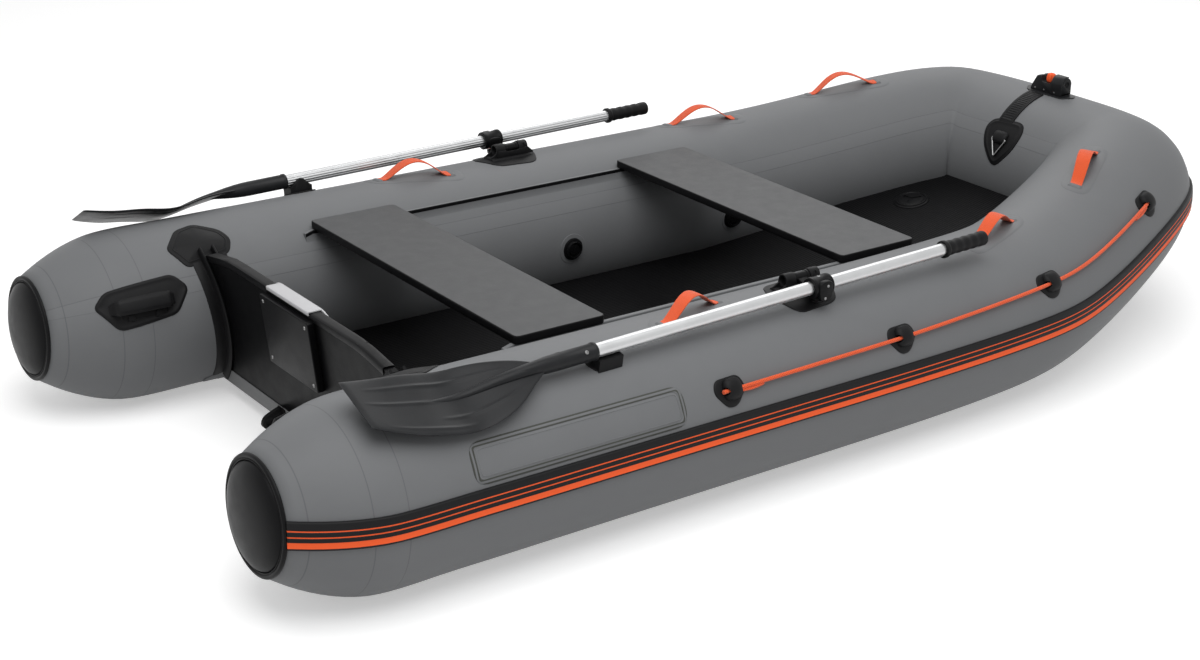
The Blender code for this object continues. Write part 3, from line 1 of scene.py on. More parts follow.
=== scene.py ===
"""Looks of an inflatable boat: smooth air tubes with welded seams, moulded rubber fittings, webbing
handles, lifelines, oars and a bow anchor lock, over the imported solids."""
import math

import bmesh
import bpy
import numpy as np
from mathutils import Matrix, Vector


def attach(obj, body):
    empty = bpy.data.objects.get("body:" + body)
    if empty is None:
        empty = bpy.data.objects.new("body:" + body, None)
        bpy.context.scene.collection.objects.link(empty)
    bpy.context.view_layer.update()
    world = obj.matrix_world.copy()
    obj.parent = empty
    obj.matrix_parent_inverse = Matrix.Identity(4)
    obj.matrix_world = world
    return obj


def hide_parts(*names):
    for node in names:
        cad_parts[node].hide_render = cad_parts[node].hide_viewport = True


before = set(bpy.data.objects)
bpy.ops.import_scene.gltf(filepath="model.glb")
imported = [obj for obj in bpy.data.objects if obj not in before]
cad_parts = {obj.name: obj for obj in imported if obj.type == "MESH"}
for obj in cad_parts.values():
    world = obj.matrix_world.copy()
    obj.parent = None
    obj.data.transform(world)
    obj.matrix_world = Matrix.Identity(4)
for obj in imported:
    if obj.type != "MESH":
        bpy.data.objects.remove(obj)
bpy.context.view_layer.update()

# Sizes of the boat, as its solids have them
TUBE_RADIUS = 0.2025
TUBE_SPREAD = 0.5686
SHEER_START = -0.138
SHOULDER = (0.4548, 0.0, 0.0)
CHEEK = (0.7278, 0.0500, 0.0201)
BOW_CORNER = (1.2092, 0.2154, 0.1179)
NOSE = (1.2998, 0.3508, 0.1040)
BOW_RINGS = (3, 2, 6, 5)
RING_CHORD = 0.09
CONE_START, CONE_LENGTH, CONE_FULLNESS = -1.26, 0.217, 1.8
CAP_RADIUS, CAP_RISE, CAP_DOME = 0.1218, 0.0113, 0.0319
CAP_TILT = math.radians(2.8)
STERN = CONE_START - CONE_LENGTH
STRAKE_ANGLE, STRAKE_WIDTH, STRAKE_PROUD = 175.6, 0.058, 0.007
SEAT_DEPTH, SEAT_HALF_LENGTH, SEAT_TOP, SEAT_THICKNESS = 0.2346, 0.448, 0.3893, 0.0195
SEATS = (("aft_seat", -0.6904), ("fore_seat", 0.2299))
RAIL_AFT, RAIL_FORE = -0.83, 0.36
DECK_THICKNESS = 0.060
BOTTOM_EDGE = (-63.0, -54.0)
TRANSOM_RAKE = math.radians(7.3)
TRANSOM_X, TRANSOM_THICKNESS, TRANSOM_TOP = -1.0654, 0.025, 0.388
OAR_SPREAD, OAR_HEIGHT, OAR_TOE_IN, OAR_CLIMB = 0.6544, 0.4388, 0.01027, 0.02255
SHAFT_RADIUS = 0.015
SLEEVE_X, GRIP_AFT, GRIP_FORE = -0.76, 0.230, 0.365
LOCK_X, CLIP_X = -0.150, -0.727
BARREL_Y, BARREL_Z = 0.580, 0.431
EYES = ((-0.47, 152.5), (0.027, 150.5), (0.5188, 146.5), (1.010, 142.9))
GRAB_HANDLES = (("aft", (-0.530, 97.0), (-0.350, 83.0)), ("mid", (0.403, 98.5), (0.605, 85.5)),
                ("fore", (0.886, 97.0), (1.078, 86.5)))
RING_Y, RING_ANGLE, RING_WIRE, RING_HALF, RING_LIFT = 0.008, 27.0, 0.0025, 0.029, 0.0078
BOW_LOCK = (NOSE[0], 0.0, 0.51055)
ROLLER_HEIGHT = 0.031

PORT, STARBOARD = 1, -1
SIDES = ((PORT, "port"), (STARBOARD, "starboard"))
MIRROR = np.array([1.0, -1.0, 1.0])


# Lines

def mm(*pairs):
    """Pairs given in millimetres."""
    return [(a / 1000, b / 1000) for a, b in pairs]


def box(left, low, right, high):
    """A rectangle's corners."""
    return [(left, low), (right, low), (right, high), (left, high)]


def mirrored(half):
    """A line and its mirror image, from end to end."""
    return half + [(-a, b) for a, b in half[::-1]]


def arc(radius, degrees, centre=(0, 0)):
    turns = [math.radians(degree) for degree in degrees]
    return [(centre[0] + radius * math.cos(t), centre[1] + radius * math.sin(t)) for t in turns]


def lengths(path):
    """How far along a path each of its points lies."""
    steps = np.linalg.norm(np.diff(np.asarray(path, float), axis=0), axis=1)
    return np.concatenate([[0.0], np.cumsum(steps)])


def bend(start, corner, end, t):
    """A point of the arc from start to end that turns at a corner."""
    return (1 - t) ** 2 * start + 2 * t * (1 - t) * corner + t * t * end


def soften(corners, radius, steps=3, closed=True):
    """A line of corners, each turned into a small arc."""
    corners = [np.asarray(corner, float) for corner in corners]
    line = []
    for k, here in enumerate(corners):
        if not closed and k in (0, len(corners) - 1):
            line.append(here)
            continue
        ends = []
        for way in (corners[k - 1] - here, corners[(k + 1) % len(corners)] - here):
            length = np.linalg.norm(way)
            ends.append(here + way / length * min(radius, 0.45 * length))
        line += [bend(ends[0], here, ends[1], step / steps) for step in range(steps + 1)]
    return np.array(line)


def evenly(outline, spacing):
    """The same closed outline with evenly spaced points."""
    closed = np.vstack([outline, outline[:1]])
    reach = lengths(closed)
    count = max(16, int(reach[-1] / spacing))
    places = np.linspace(0, reach[-1], count, endpoint=False)
    return np.stack([np.interp(places, reach, closed[:, axis]) for axis in range(2)], axis=1)


def share_between(value, low, high):
    return np.clip((np.asarray(value, float) - low) / (high - low), 0.0, 1.0)


# The hull's skin: a smooth surface through the rings of the solid tubes

def trace_centreline(samples=48):
    """Points of the port half's bend, their stations, and the stations of the solid's rings."""
    corners = [np.array([forward, TUBE_SPREAD - inset, TUBE_RADIUS + rise])
               for forward, inset, rise in (SHOULDER, CHEEK, BOW_CORNER, NOSE)]
    start = np.array([SHEER_START, TUBE_SPREAD, TUBE_RADIUS])
    points, marks = [], []
    for corner, following, rings in zip(corners, corners[1:] + [corners[-1] * MIRROR], BOW_RINGS):
        end = (corner + following) / 2
        marks += [len(points) + round(k * samples / rings) for k in range(rings)]
        points += [bend(start, corner, end, k / samples) for k in range(samples)]
        start = end
    points = np.array(points + [end])
    stations = SHEER_START + lengths(points)
    return points, stations, stations[marks]


CENTRES, STATIONS, BEND_STATIONS = trace_centreline()
BOW = float(STATIONS[-1])


def centre_at(station):
    if station > BOW:
        return centre_at(2 * BOW - station) * MIRROR
    if station < SHEER_START:
        share = max(0.0, (CONE_START - station) / CONE_LENGTH)
        return np.array([station, TUBE_SPREAD, TUBE_RADIUS + CAP_RISE * share ** 2])
    return np.array([np.interp(station, STATIONS, CENTRES[:, axis]) for axis in range(3)])


def ring_frame(station):
    """Centre, inward and upward spokes of the solid tube's ring at a station of the port half."""
    share = max(0.0, (CONE_START - station) / CONE_LENGTH)
    radius = TUBE_RADIUS - (TUBE_RADIUS - CAP_RADIUS) * share ** CONE_FULLNESS
    if station < SHEER_START - RING_CHORD:
        tilt = CAP_TILT * share ** 2
        upward = np.array([math.sin(tilt), 0.0, math.cos(tilt)])
        return centre_at(station), radius * np.array([0.0, -1.0, 0.0]), radius * upward
    forward = centre_at(station + RING_CHORD) - centre_at(station - RING_CHORD)
    forward /= np.linalg.norm(forward)
    upward = np.array([0.0, 0.0, 1.0]) - forward * forward[2]
    upward /= np.linalg.norm(upward)
    return centre_at(station), radius * np.cross(upward, -forward), radius * upward


def hull_knots():
    """Rows of centre, inward spoke and upward spoke, from the port stern round to starboard."""
    cone = np.linspace(STERN, CONE_START, 7)
    straight = np.linspace(CONE_START, SHEER_START, 10)[1:-1]
    port = np.concatenate([cone, straight, BEND_STATIONS, [BOW]])
    rows = np.array([np.concatenate(ring_frame(station)) for station in port])
    other = rows[-2::-1] * np.tile(MIRROR, 3)
    return np.concatenate([port, 2 * BOW - port[-2::-1]]), np.concatenate([rows, other])


def bending(knots, rows):
    """Second derivatives of the smooth curve through rows of values."""
    size = len(knots)
    gap = np.diff(knots)
    system = np.zeros((size, size))
    right = np.zeros_like(rows)
    system[0, 0] = system[-1, -1] = 1.0
    for k in range(1, size - 1):
        system[k, k - 1:k + 2] = gap[k - 1], 2 * (gap[k - 1] + gap[k]), gap[k]
        right[k] = 6 * ((rows[k + 1] - rows[k]) / gap[k] - (rows[k] - rows[k - 1]) / gap[k - 1])
    return np.linalg.solve(system, right)


def along_curve(knots, rows, bends, places):
    """Values of the smooth curve through the rows, and how fast they change, at any places."""
    places = np.asarray(places, float)
    k = np.clip(np.searchsorted(knots, places, side="right") - 1, 0, len(knots) - 2)
    gap = (knots[k + 1] - knots[k])[..., None]
    near = (knots[k + 1] - places)[..., None] / gap
    far = 1 - near
    value = near * rows[k] + far * rows[k + 1]
    value += ((near ** 3 - near) * bends[k] + (far ** 3 - far) * bends[k + 1]) * gap ** 2 / 6
    slope = (rows[k + 1] - rows[k]) / gap
    slope += ((3 * far ** 2 - 1) * bends[k + 1] - (3 * near ** 2 - 1) * bends[k]) * gap / 6
    return value, slope


KNOTS, ROWS = hull_knots()
BENDS = bending(KNOTS, ROWS)


def hull_rows(stations):
    """Rows like the knots' at any stations, and how fast they change."""
    return along_curve(KNOTS, ROWS, BENDS, stations)


def smooth_through(points, places):
    """Values at places on a smooth line through (place, value) points."""
    knots = np.array([place for place, _ in points])
    rows = np.array([[value] for _, value in points])
    return along_curve(knots, rows, bending(knots, rows), places)[0][..., 0]


def skin_and_normal(stations, angles, lifts=0.0):
    """Points lift metres off the tube's skin, and the outward normals there.

    Stations run round the boat; the angle is 0 towards the cockpit and 90 on top.
    """
    stations, angles, lifts = np.broadcast_arrays(*np.atleast_1d(stations, angles, lifts))
    value, slope = hull_rows(stations)
    turn = np.radians(angles)
    c, s = np.cos(turn)[..., None], np.sin(turn)[..., None]
    spoke = c * value[..., 3:6] + s * value[..., 6:9]
    along = slope[..., 0:3] + c * slope[..., 3:6] + s * slope[..., 6:9]
    around = c * value[..., 6:9] - s * value[..., 3:6]
    normal = np.cross(around, along)
    normal /= np.linalg.norm(normal, axis=-1, keepdims=True)
    normal *= np.sign((normal * spoke).sum(-1, keepdims=True))
    return value[..., 0:3] + spoke + normal * lifts[..., None], normal


def skin(stations, angles, lifts=0.0):
    return skin_and_normal(stations, angles, lifts)[0]


def girth(angle):
    """The length round the tube from its inner side to an angle."""
    return math.radians(angle) * TUBE_RADIUS


def turn_of(length):
    """The angle that a length round the tube stands for."""
    return np.degrees(np.asarray(length) / TUBE_RADIUS)


def on_tube(points):
    """(station, angle) points as (station, length round the tube)."""
    return [(station, girth(angle)) for station, angle in points]


# Mesh making

def placed(name, data):
    thing = bpy.data.objects.new(name, data)
    bpy.context.scene.collection.objects.link(thing)
    return thing


def settled(mesh, weld=0.0):
    """The mesh with its faces outwards, and with points joined that lie nearer than weld."""
    bm = bmesh.new()
    bm.from_mesh(mesh)
    if weld:
        bmesh.ops.remove_doubles(bm, verts=bm.verts, dist=weld)
    bmesh.ops.recalc_face_normals(bm, faces=bm.faces)
    bm.to_mesh(mesh)
    bm.free()
    return mesh


def to_mesh(points, faces, uvs=None, surfaces=None):
    mesh = bpy.data.meshes.new("shape")
    mesh.from_pydata([tuple(map(float, point)) for point in points], [], faces)
    if uvs is not None:
        layer = mesh.uv_layers.new(name="surface")
        layer.data.foreach_set("uv", np.asarray(uvs, float).ravel())
    if surfaces is not None:
        mesh.polygons.foreach_set("material_index", surfaces)
    mesh.update()
    return settled(mesh)


def quads(count, size):
    """Faces between rings of points, one ring after the other."""
    return [(i * size + k, i * size + (k + 1) % size, (i + 1) * size + (k + 1) % size,
             (i + 1) * size + k) for i in range(count - 1) for k in range(size)]


def loft(rings, u=None, v=None, capped=True, surface_of=lambda i, k: 0):
    """A skin over rings of points; u runs along the rings and v round them, in metres."""
    rings = np.asarray(rings, float)
    count, size, _ = rings.shape
    u = np.arange(count) if u is None else u
    v = lengths([*rings[0], rings[0][0]]) if v is None else v
    cells = [(i, k) for i in range(count - 1) for k in range(size)]
    faces = quads(count, size)
    uvs = [(u[i + a], v[k + b]) for i, k in cells for a, b in ((0, 0), (0, 1), (1, 1), (1, 0))]
    surfaces = [surface_of(i, k) for i, k in cells]
    if capped:
        for i in (0, count - 1):
            faces.append(tuple(range(i * size, (i + 1) * size)))
            uvs += [(u[i], v[k]) for k in range(size)]
            surfaces.append(surface_of(i, 0))
    return to_mesh(rings.reshape(-1, 3), faces, uvs, surfaces)


def prism(outline, low, high, axis=2, at=(0, 0, 0)):
    """A plate between two places along an axis, its outline in the other two."""
    return loft([np.insert(outline, axis, height, axis=1) + at for height in (low, high)])


def lathe(profile, sides=48):
    """A turned solid about Z from (radius, height) pairs that start and end on the axis."""
    turns = 2 * math.pi * np.arange(sides) / sides
    points = [(0, 0, profile[0][1]), (0, 0, profile[-1][1])]
    for radius, height in profile[1:-1]:
        points += [(radius * math.cos(t), radius * math.sin(t), height) for t in turns]
    last = 2 + (len(profile) - 3) * sides
    faces = []
    for k in range(sides):
        j = (k + 1) % sides
        faces += [(0, 2 + j, 2 + k), (1, last + k, last + j)]
        faces += [(low + k, low + j, low + sides + j, low + sides + k)
                  for low in range(2, last, sides)]
    return to_mesh(points, faces)


def rod(radius, low, high, sides=24):
    return lathe([(0, low), (radius, low), (radius, high), (0, high)], sides)


def patch(corners, profile, rounding=0.014, spacing=0.005, crown=0.0):
    """A moulded patch on the skin: its profile is (distance in from its edge, lift) pairs.

    Its corners are (station, length round the tube), and it is closed below the skin.
    """
    outline = evenly(soften(corners, rounding, 5), spacing)
    ahead = np.roll(outline, -1, axis=0) - np.roll(outline, 1, axis=0)
    inward = np.stack([-ahead[:, 1], ahead[:, 0]], axis=1)
    inward /= np.linalg.norm(inward, axis=1, keepdims=True)
    middle = outline.mean(axis=0)
    if ((middle - outline) * inward).sum() < 0:
        inward = -inward
    rings = [(outline, -0.001)] + [(outline + inward * inset, lift) for inset, lift in profile]
    inner, level = rings[-1]
    rings += [(middle + (inner - middle) * share, level + crown * (1 - share ** 2))
              for share in (0.82, 0.62, 0.42, 0.22)]
    size, count = len(outline), len(rings)
    rings.append((middle[None], level + crown))
    points = np.concatenate([skin(ring[:, 0], turn_of(ring[:, 1]), lift) for ring, lift in rings])
    places = np.concatenate([ring for ring, _ in rings])
    last, tip = (count - 1) * size, count * size
    faces = [tuple(range(size)), *quads(count, size)]
    faces += [(last + k, last + (k + 1) % size, tip) for k in range(size)]
    return to_mesh(points, faces, [places[k] for face in faces for k in face])


def bridge(stations, angle, wide, high, aside, foot, floor, power, turns):
    """A hood on the skin; wide, high and aside are (size at its ends, what its middle adds)."""
    rows = []
    turn = np.linspace(0, math.pi, turns)
    for station, along in zip(stations, np.linspace(-1, 1, len(stations))):
        bulge = max(0.0, 1 - abs(along) ** power) ** 0.5
        half, rise, shift = (size + more * bulge for size, more in (wide, high, aside))
        inner = foot[0] + foot[1] * half
        across = np.concatenate([shift + half * np.cos(turn), [-inner, inner]])
        lifts = np.concatenate([floor + rise * np.sin(turn) ** 0.8, [0.0012, 0.0012]])
        rows.append(skin(station, angle + turn_of(across), lifts))
    return loft(rows)


def pipe(path, radius, sides=14, closed=False):
    """A round bar along a path."""
    path = np.asarray(path, float)
    if closed:
        runs = np.roll(path, -1, axis=0) - np.roll(path, 1, axis=0)
    else:
        runs = np.gradient(path, axis=0)
    runs /= np.linalg.norm(runs, axis=1, keepdims=True)
    side = np.cross(runs[0], [0.0, 0.0, 1.0])
    turns = 2 * math.pi * np.arange(sides + 1) / sides
    c, s = np.cos(turns[:-1])[:, None], np.sin(turns[:-1])[:, None]
    rings = []
    for point, run in zip(path, runs):
        side = side - run * side.dot(run)
        side /= np.linalg.norm(side)
        rings.append(point + radius * (c * side + s * np.cross(run, side)))
    if closed:
        rings.append(rings[0])
    mesh = loft(rings, lengths(np.mean(rings, axis=1)), radius * turns, capped=not closed)
    return settled(mesh, 1e-5) if closed else mesh


def turned(axis, across):
    """The turn that lays Z along an axis and X towards another direction."""
    z = Vector(axis).normalized()
    x = Vector(across)
    x = (x - z * x.dot(z)).normalized()
    return Matrix((x, z.cross(x), z)).transposed()


def aim(mesh, origin, axis, across=(0, 0, 1)):
    """Move a mesh to an origin, its Z along an axis and its X towards another direction."""
    mesh.transform(Matrix.Translation(Vector(origin)) @ turned(axis, across).to_4x4())
    return mesh


def as_shown(helper):
    """The plain mesh that a helper's modifier makes of it; the helper goes."""
    depsgraph = bpy.context.evaluated_depsgraph_get()
    result = bpy.data.meshes.new_from_object(helper.evaluated_get(depsgraph))
    bpy.data.objects.remove(helper)
    return result


def shaped(mesh, kind, **settings):
    helper = placed("helper", mesh)
    modifier = helper.modifiers.new("shape", kind)
    for key, value in settings.items():
        setattr(modifier, key, value)
    return as_shown(helper)


def bevelled(mesh, width, segments=2):
    return shaped(mesh, "BEVEL", width=width, segments=segments, limit_method="ANGLE",
                  angle_limit=math.radians(35), use_clamp_overlap=True)


def cut(mesh, *cutters):
    for cutter in cutters:
        tool = placed("cutter", cutter)
        mesh = shaped(mesh, "BOOLEAN", operation="DIFFERENCE", object=tool)
        bpy.data.objects.remove(tool)
    return mesh


def fuse(*meshes):
    """Several closed meshes in one."""
    bm = bmesh.new()
    for mesh in meshes:
        bm.from_mesh(mesh)
    whole = bpy.data.meshes.new("shape")
    bm.to_mesh(whole)
    bm.free()
    return whole


def add(name, mesh, finishes, slot, *replaces, body="hull", side=PORT, crease=35):
    """Finish a mesh as a piece of the boat on one of its moving bodies."""
    mesh.name = name
    if side == STARBOARD:
        mesh.transform(Matrix.Diagonal((1, -1, 1, 1)))
        mesh.flip_normals()
    if not mesh.materials:
        for finish in finishes if isinstance(finishes, list) else [finishes]:
            mesh.materials.append(finish)
    mesh.shade_smooth()
    mesh.set_sharp_from_angle(angle=math.radians(crease))
    piece = placed(name, mesh)
    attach(piece, body)
    if replaces:
        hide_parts(*replaces)


def add_pair(name, mesh, finishes, slot, *replaces, body=None, crease=35):
    """The same piece on both sides; body and node names get the side's name in front."""
    for side, word in SIDES:
        add(f"{word}_{name}", mesh.copy(), finishes, slot, *(f"{word}_{node}" for node in replaces),
            body=f"{word}_{body}" if body else "hull", side=side, crease=crease)


# Materials

class Graph:
    """Writes a node tree; an input is a number, a colour or another node's socket."""

    def __init__(self, tree):
        self.tree = tree

    def put(self, socket, value):
        if isinstance(value, bpy.types.NodeSocket):
            self.tree.links.new(value, socket)
        elif value is not None:
            socket.default_value = value

    def node(self, kind, values=(), **settings):
        node = self.tree.nodes.new(kind)
        for key, value in settings.items():
            setattr(node, key, value)
        for key, value in dict(values).items():
            self.put(node.inputs[key], value)
        return node

    def maths(self, operation, a, b=None, c=None):
        node = self.node("ShaderNodeMath", operation=operation)
        for socket, value in zip(node.inputs, (a, b, c)):
            self.put(socket, value)
        return node.outputs[0]

    def times(self, a, b):
        return self.maths("MULTIPLY", a, b)

    def less(self, a, b):
        return self.maths("SUBTRACT", a, b)

    def total(self, *values):
        result = values[0]
        for value in values[1:]:
            result = self.maths("ADD", result, value)
        return result

    def wave(self, value, length):
        """A sine that repeats after a length."""
        return self.maths("SINE", self.times(value, 2 * math.pi / length))

    def axes(self, vector):
        return self.node("ShaderNodeSeparateXYZ", {"Vector": vector}).outputs

    def spot(self, mapped):
        """Where a pattern is read: the piece's own map in metres, or its place in the boat."""
        if mapped:
            return self.node("ShaderNodeUVMap", uv_map="surface").outputs[0]
        return self.node("ShaderNodeTexCoord").outputs["Object"]

    def noise(self, vector, scale, detail=2.0, roughness=0.5):
        values = {"Vector": vector, "Scale": scale, "Detail": detail, "Roughness": roughness}
        return self.node("ShaderNodeTexNoise", values).outputs["Fac"]

    def step(self, value, low, high):
        """0 below low, 1 above high; low may be the larger one."""
        values = {"Value": value, "From Min": low, "From Max": high}
        return self.node("ShaderNodeMapRange", values, interpolation_type="SMOOTHSTEP").outputs[0]

    def band(self, value, centre, half, edge):
        return self.step(self.maths("ABSOLUTE", self.less(value, centre)), half + edge, half)

    def blend(self, share, first, second):
        node = self.node("ShaderNodeMix", data_type="RGBA")
        for name, value in (("Factor", share), ("A", first), ("B", second)):
            self.put(next(s for s in node.inputs if s.name == name and s.enabled), value)
        return next(s for s in node.outputs if s.enabled)


MASKS = ("Relief", "Mottle", "Marks")


def effect(name, build):
    """A shader node group: a place and the size of its grain in, three masks out."""
    tree = bpy.data.node_groups.new(name, "ShaderNodeTree")
    for label, kind in (("Vector", "Vector"), ("Size", "Float")):
        tree.interface.new_socket(label, in_out="INPUT", socket_type="NodeSocket" + kind)
    for label in MASKS:
        tree.interface.new_socket(label, in_out="OUTPUT", socket_type="NodeSocketFloat")
    graph = Graph(tree)
    inputs = graph.node("NodeGroupInput").outputs
    graph.node("NodeGroupOutput", zip(MASKS, build(graph, inputs["Vector"], inputs["Size"])))
    return tree


def coated_cloth(graph, vector, thread):
    """Threads under a plastic coat, faint patches of tone, and small rubbed marks."""
    x, y, z = (graph.maths("SINE", graph.maths("DIVIDE", part, thread))
               for part in graph.axes(vector))
    mottle = graph.noise(vector, 9.0, 4.0, 0.6)
    rubbed = graph.step(graph.noise(vector, 34.0, 5.0, 0.7), 0.60, 0.78)
    return graph.total(graph.times(x, y), z), mottle, rubbed


def moulded_grain(graph, vector, grain):
    """Fine pebbled grain, a soft unevenness of gloss, and short scratches."""
    scale = graph.maths("DIVIDE", 1.0, grain)
    cells = graph.node("ShaderNodeTexVoronoi", {"Vector": vector, "Scale": scale})
    gloss = graph.noise(vector, 28.0, 3.0, 0.55)
    stretched = graph.node("ShaderNodeMapping", {"Vector": vector, "Scale": (60.0, 420.0, 90.0)})
    scratches = graph.step(graph.noise(stretched.outputs[0], 1.0, 3.0, 0.6), 0.66, 0.74)
    return cells.outputs["Distance"], gloss, scratches


CLOTH = effect("coated cloth", coated_cloth)
GRAIN = effect("moulded grain", moulded_grain)


def new_finish(name, **constants):
    material = bpy.data.materials.new(name)
    material.use_nodes = True
    shader = material.node_tree.nodes["Principled BSDF"]
    shader.inputs["Specular IOR Level"].default_value = 0.16
    for key, value in constants.items():
        shader.inputs[key.replace("_", " ")].default_value = value
    return material, Graph(material.node_tree), shader.inputs


def shades(colour, *factors):
    return [tuple(min(1.0, part * factor) for part in colour) + (1.0,) for factor in factors]


def finish(name, kind, size, tones, rough, pattern, mapped=True, wear=0.0, **constants):
    """A material: an effect's mottle between two tones, and a pattern of colour and height.

    Its roughness is (what the mottle adds, the least), and wear is what the marks add.
    """
    material, graph, inputs = new_finish(name, **constants)
    masks = graph.node("ShaderNodeGroup", {"Vector": graph.spot(mapped), "Size": size},
                       node_tree=kind).outputs
    relief, mottle, marks = (masks[label] for label in MASKS)
    tone, height, distance = pattern(graph, graph.blend(mottle, *tones), relief, marks)
    graph.put(inputs["Base Color"], tone)
    roughness = graph.maths("MULTIPLY_ADD", mottle, *rough)
    if wear:
        roughness = graph.maths("MULTIPLY_ADD", marks, wear, roughness)
    graph.put(inputs["Roughness"], roughness)
    bump = graph.node("ShaderNodeBump", {"Height": height, "Distance": distance, "Strength": 1.0})
    graph.put(inputs["Normal"], bump.outputs[0])
    return material


def moulded(name, colour, roughness, grain, relief, spread=0.25, shine=0.16, metallic=0.0):
    """Moulded rubber, plastic or metal, lighter where it is scratched."""
    worn = tuple(part * 0.9 + 0.018 for part in colour) + (1.0,)

    def pattern(graph, tone, pebbles, scratches):
        tone = graph.blend(graph.times(scratches, 0.35), tone, worn)
        return tone, graph.less(pebbles, graph.times(scratches, 0.5)), relief

    return finish(name, GRAIN, grain, shades(colour, 1 - spread, 1 + spread),
                  (0.22, roughness - 0.11), pattern, mapped=False, wear=0.10, Metallic=metallic,
                  Specular_IOR_Level=shine)


def cloth(name, colour, roughness, mapped=False):
    """Plain coated cloth, a little lighter where it is rubbed."""

    def pattern(graph, tone, threads, rubbed):
        tone = graph.blend(graph.times(rubbed, 0.12), tone, *shades(colour, 1.5))
        return tone, threads, 0.00003

    return finish(name, CLOTH, 0.0005, shades(colour, 0.9, 1.1), (0.16, roughness - 0.08), pattern,
                  mapped)


GREY = (0.157, 0.161, 0.166)
LINING = (0.190, 0.192, 0.195)
BLACK = (0.0065, 0.0065, 0.0070)
ORANGE = (0.90, 0.118, 0.030)
SEAM_RINGS = (-1.330, -1.443, CONE_START)
LONG_SEAM, TAPE_HALF, SEAM_HALF, SEAM_EDGE = girth(32.0), 0.019, 0.0004, 0.0012
PANEL_CENTRE = (-0.850, girth(153.25))
PANEL_HALF = (0.260, girth(12.25))


def port_station(graph, along):
    """The station that lies as far from the bow on the port side."""
    return graph.maths("MINIMUM", along, graph.less(2 * BOW, along))


def taped(graph, tone, threads, rubbed):
    """Welded tapes along and round the tubes."""
    where = graph.spot(True)
    along, around = graph.axes(where)[:2]
    nearest = port_station(graph, along)
    tape = graph.band(around, LONG_SEAM, TAPE_HALF, SEAM_EDGE)
    lines = [graph.band(around, LONG_SEAM + TAPE_HALF, SEAM_HALF, SEAM_EDGE)]
    lines += [graph.band(nearest, station, SEAM_HALF, SEAM_EDGE) for station in SEAM_RINGS]
    line = graph.maths("MINIMUM", graph.total(*lines), 1.0)
    over = zip((tape, line, rubbed), (0.5, 0.55, 0.08), shades(GREY, 1.07, 0.55, 1.4))
    for mask, share, colour in over:
        tone = graph.blend(graph.times(mask, share), tone, colour)
    height = graph.total(graph.times(tape, 0.0005), graph.times(threads, 0.00002),
                         graph.times(graph.noise(where, 3.2), 0.0030))
    return tone, height, 1.0


def striped(graph, tone, pebbles, _):
    """Two thin and one broad orange stripe, in grooves of the moulding."""
    across = graph.axes(graph.spot(True))[1]
    stripe = graph.total(*(graph.band(across, STRAKE_WIDTH * share, half, 0.0005) for share, half in
                           ((0.31, 0.0010), (0.51, 0.0010), (0.785, 0.0058))))
    height = graph.maths("MULTIPLY_ADD", stripe, -6.0, pebbles)
    return graph.blend(stripe, tone, *shades(ORANGE, 1)), height, 0.00006


def ribbed(graph, tone, *_):
    """Fine lines pressed in lengthwise, and small cross ribs."""
    along, across = graph.axes(graph.spot(False))[:2]
    ridge = graph.step(graph.wave(across, 0.009), -0.2, 0.7)
    tone = graph.blend(graph.times(ridge, 0.5), tone, (0.0095, 0.0095, 0.0105, 1))
    ribs = graph.times(graph.wave(along, 0.0045), 0.00010)
    return tone, graph.total(graph.times(ridge, 0.0008), ribs), 1.0


def woven(graph, tone, *_):
    """Cross threads of a flat strap, with painted shade in the hollows where the threads dip."""
    along, across = graph.axes(graph.spot(True))[:2]
    weave = graph.times(graph.wave(along, 0.0016), graph.wave(across, 0.0022))
    # painted shade: the orange is darkened in the deepest dips of the weave's bump
    tone = graph.blend(graph.step(weave, -0.4, -0.9), tone, *shades(ORANGE, 0.62))
    return tone, weave, 0.00025


def braided(graph, tone, *_):
    """Two slanting sets of strands, with painted shade in the hollows between them."""
    along, across = graph.axes(graph.spot(True))[:2]
    turn = graph.times(across, 6 / 0.0045)
    run = graph.times(along, 2 * math.pi / 0.0075)
    left, right = (graph.maths("SINE", graph.maths(way, run, turn)) for way in ("ADD", "SUBTRACT"))
    braid = graph.maths("MAXIMUM", left, right)
    # painted shade: the orange is darkened where the braid's bump is lowest, between the strands
    return graph.blend(graph.step(braid, 0.1, -0.5), tone, *shades(ORANGE, 0.55)), braid, 0.0005


def bordered(graph, tone, threads, _):
    """A double dark border round a bare panel."""
    along, around = graph.axes(graph.spot(True))[:2]
    from_edge = [graph.less(half, graph.maths("ABSOLUTE", graph.less(place, centre)))
                 for place, half, centre in zip((port_station(graph, along), around), PANEL_HALF,
                                                PANEL_CENTRE)]
    inset = graph.maths("SMOOTH_MIN", *from_edge, 0.012)
    border = graph.total(graph.band(inset, 0.0015, 0.0016, 0.0006),
                         graph.band(inset, 0.0095, 0.0013, 0.0005))
    return graph.blend(border, tone, (0.058, 0.060, 0.053, 1)), threads, 0.00003


HULL_CLOTH = finish("hull_cloth", CLOTH, 0.0005, shades(GREY, 0.94, 1.06), (0.12, 0.46), taped)
STRAKE_RUBBER = finish("strake_rubber", GRAIN, 0.0016, shades(BLACK, 0.8, 1.3), (0.2, 0.42),
                       striped, mapped=False)
DECK_CLOTH = finish("deck_cloth", GRAIN, 0.003, shades((0.0020, 0.0020, 0.0022), 1, 2),
                    (0.15, 0.48), ribbed, mapped=False, Specular_IOR_Level=0.06)
WEBBING = finish("orange_webbing", CLOTH, 0.0005, shades(ORANGE, 0.82, 1.05), (0.2, 0.6), woven,
                 Sheen_Weight=0.2)
ROPE_COVER = finish("orange_rope", CLOTH, 0.0006, shades(ORANGE, 0.85, 1.08), (0.2, 0.55), braided,
                    Sheen_Weight=0.2)
PANEL_CLOTH = finish("side_panel", CLOTH, 0.0005, shades(GREY, 0.93, 1.05), (0.12, 0.48), bordered)
PATCH_CLOTH = cloth("patch_cloth", [part * 0.97 for part in GREY], 0.5, mapped=True)
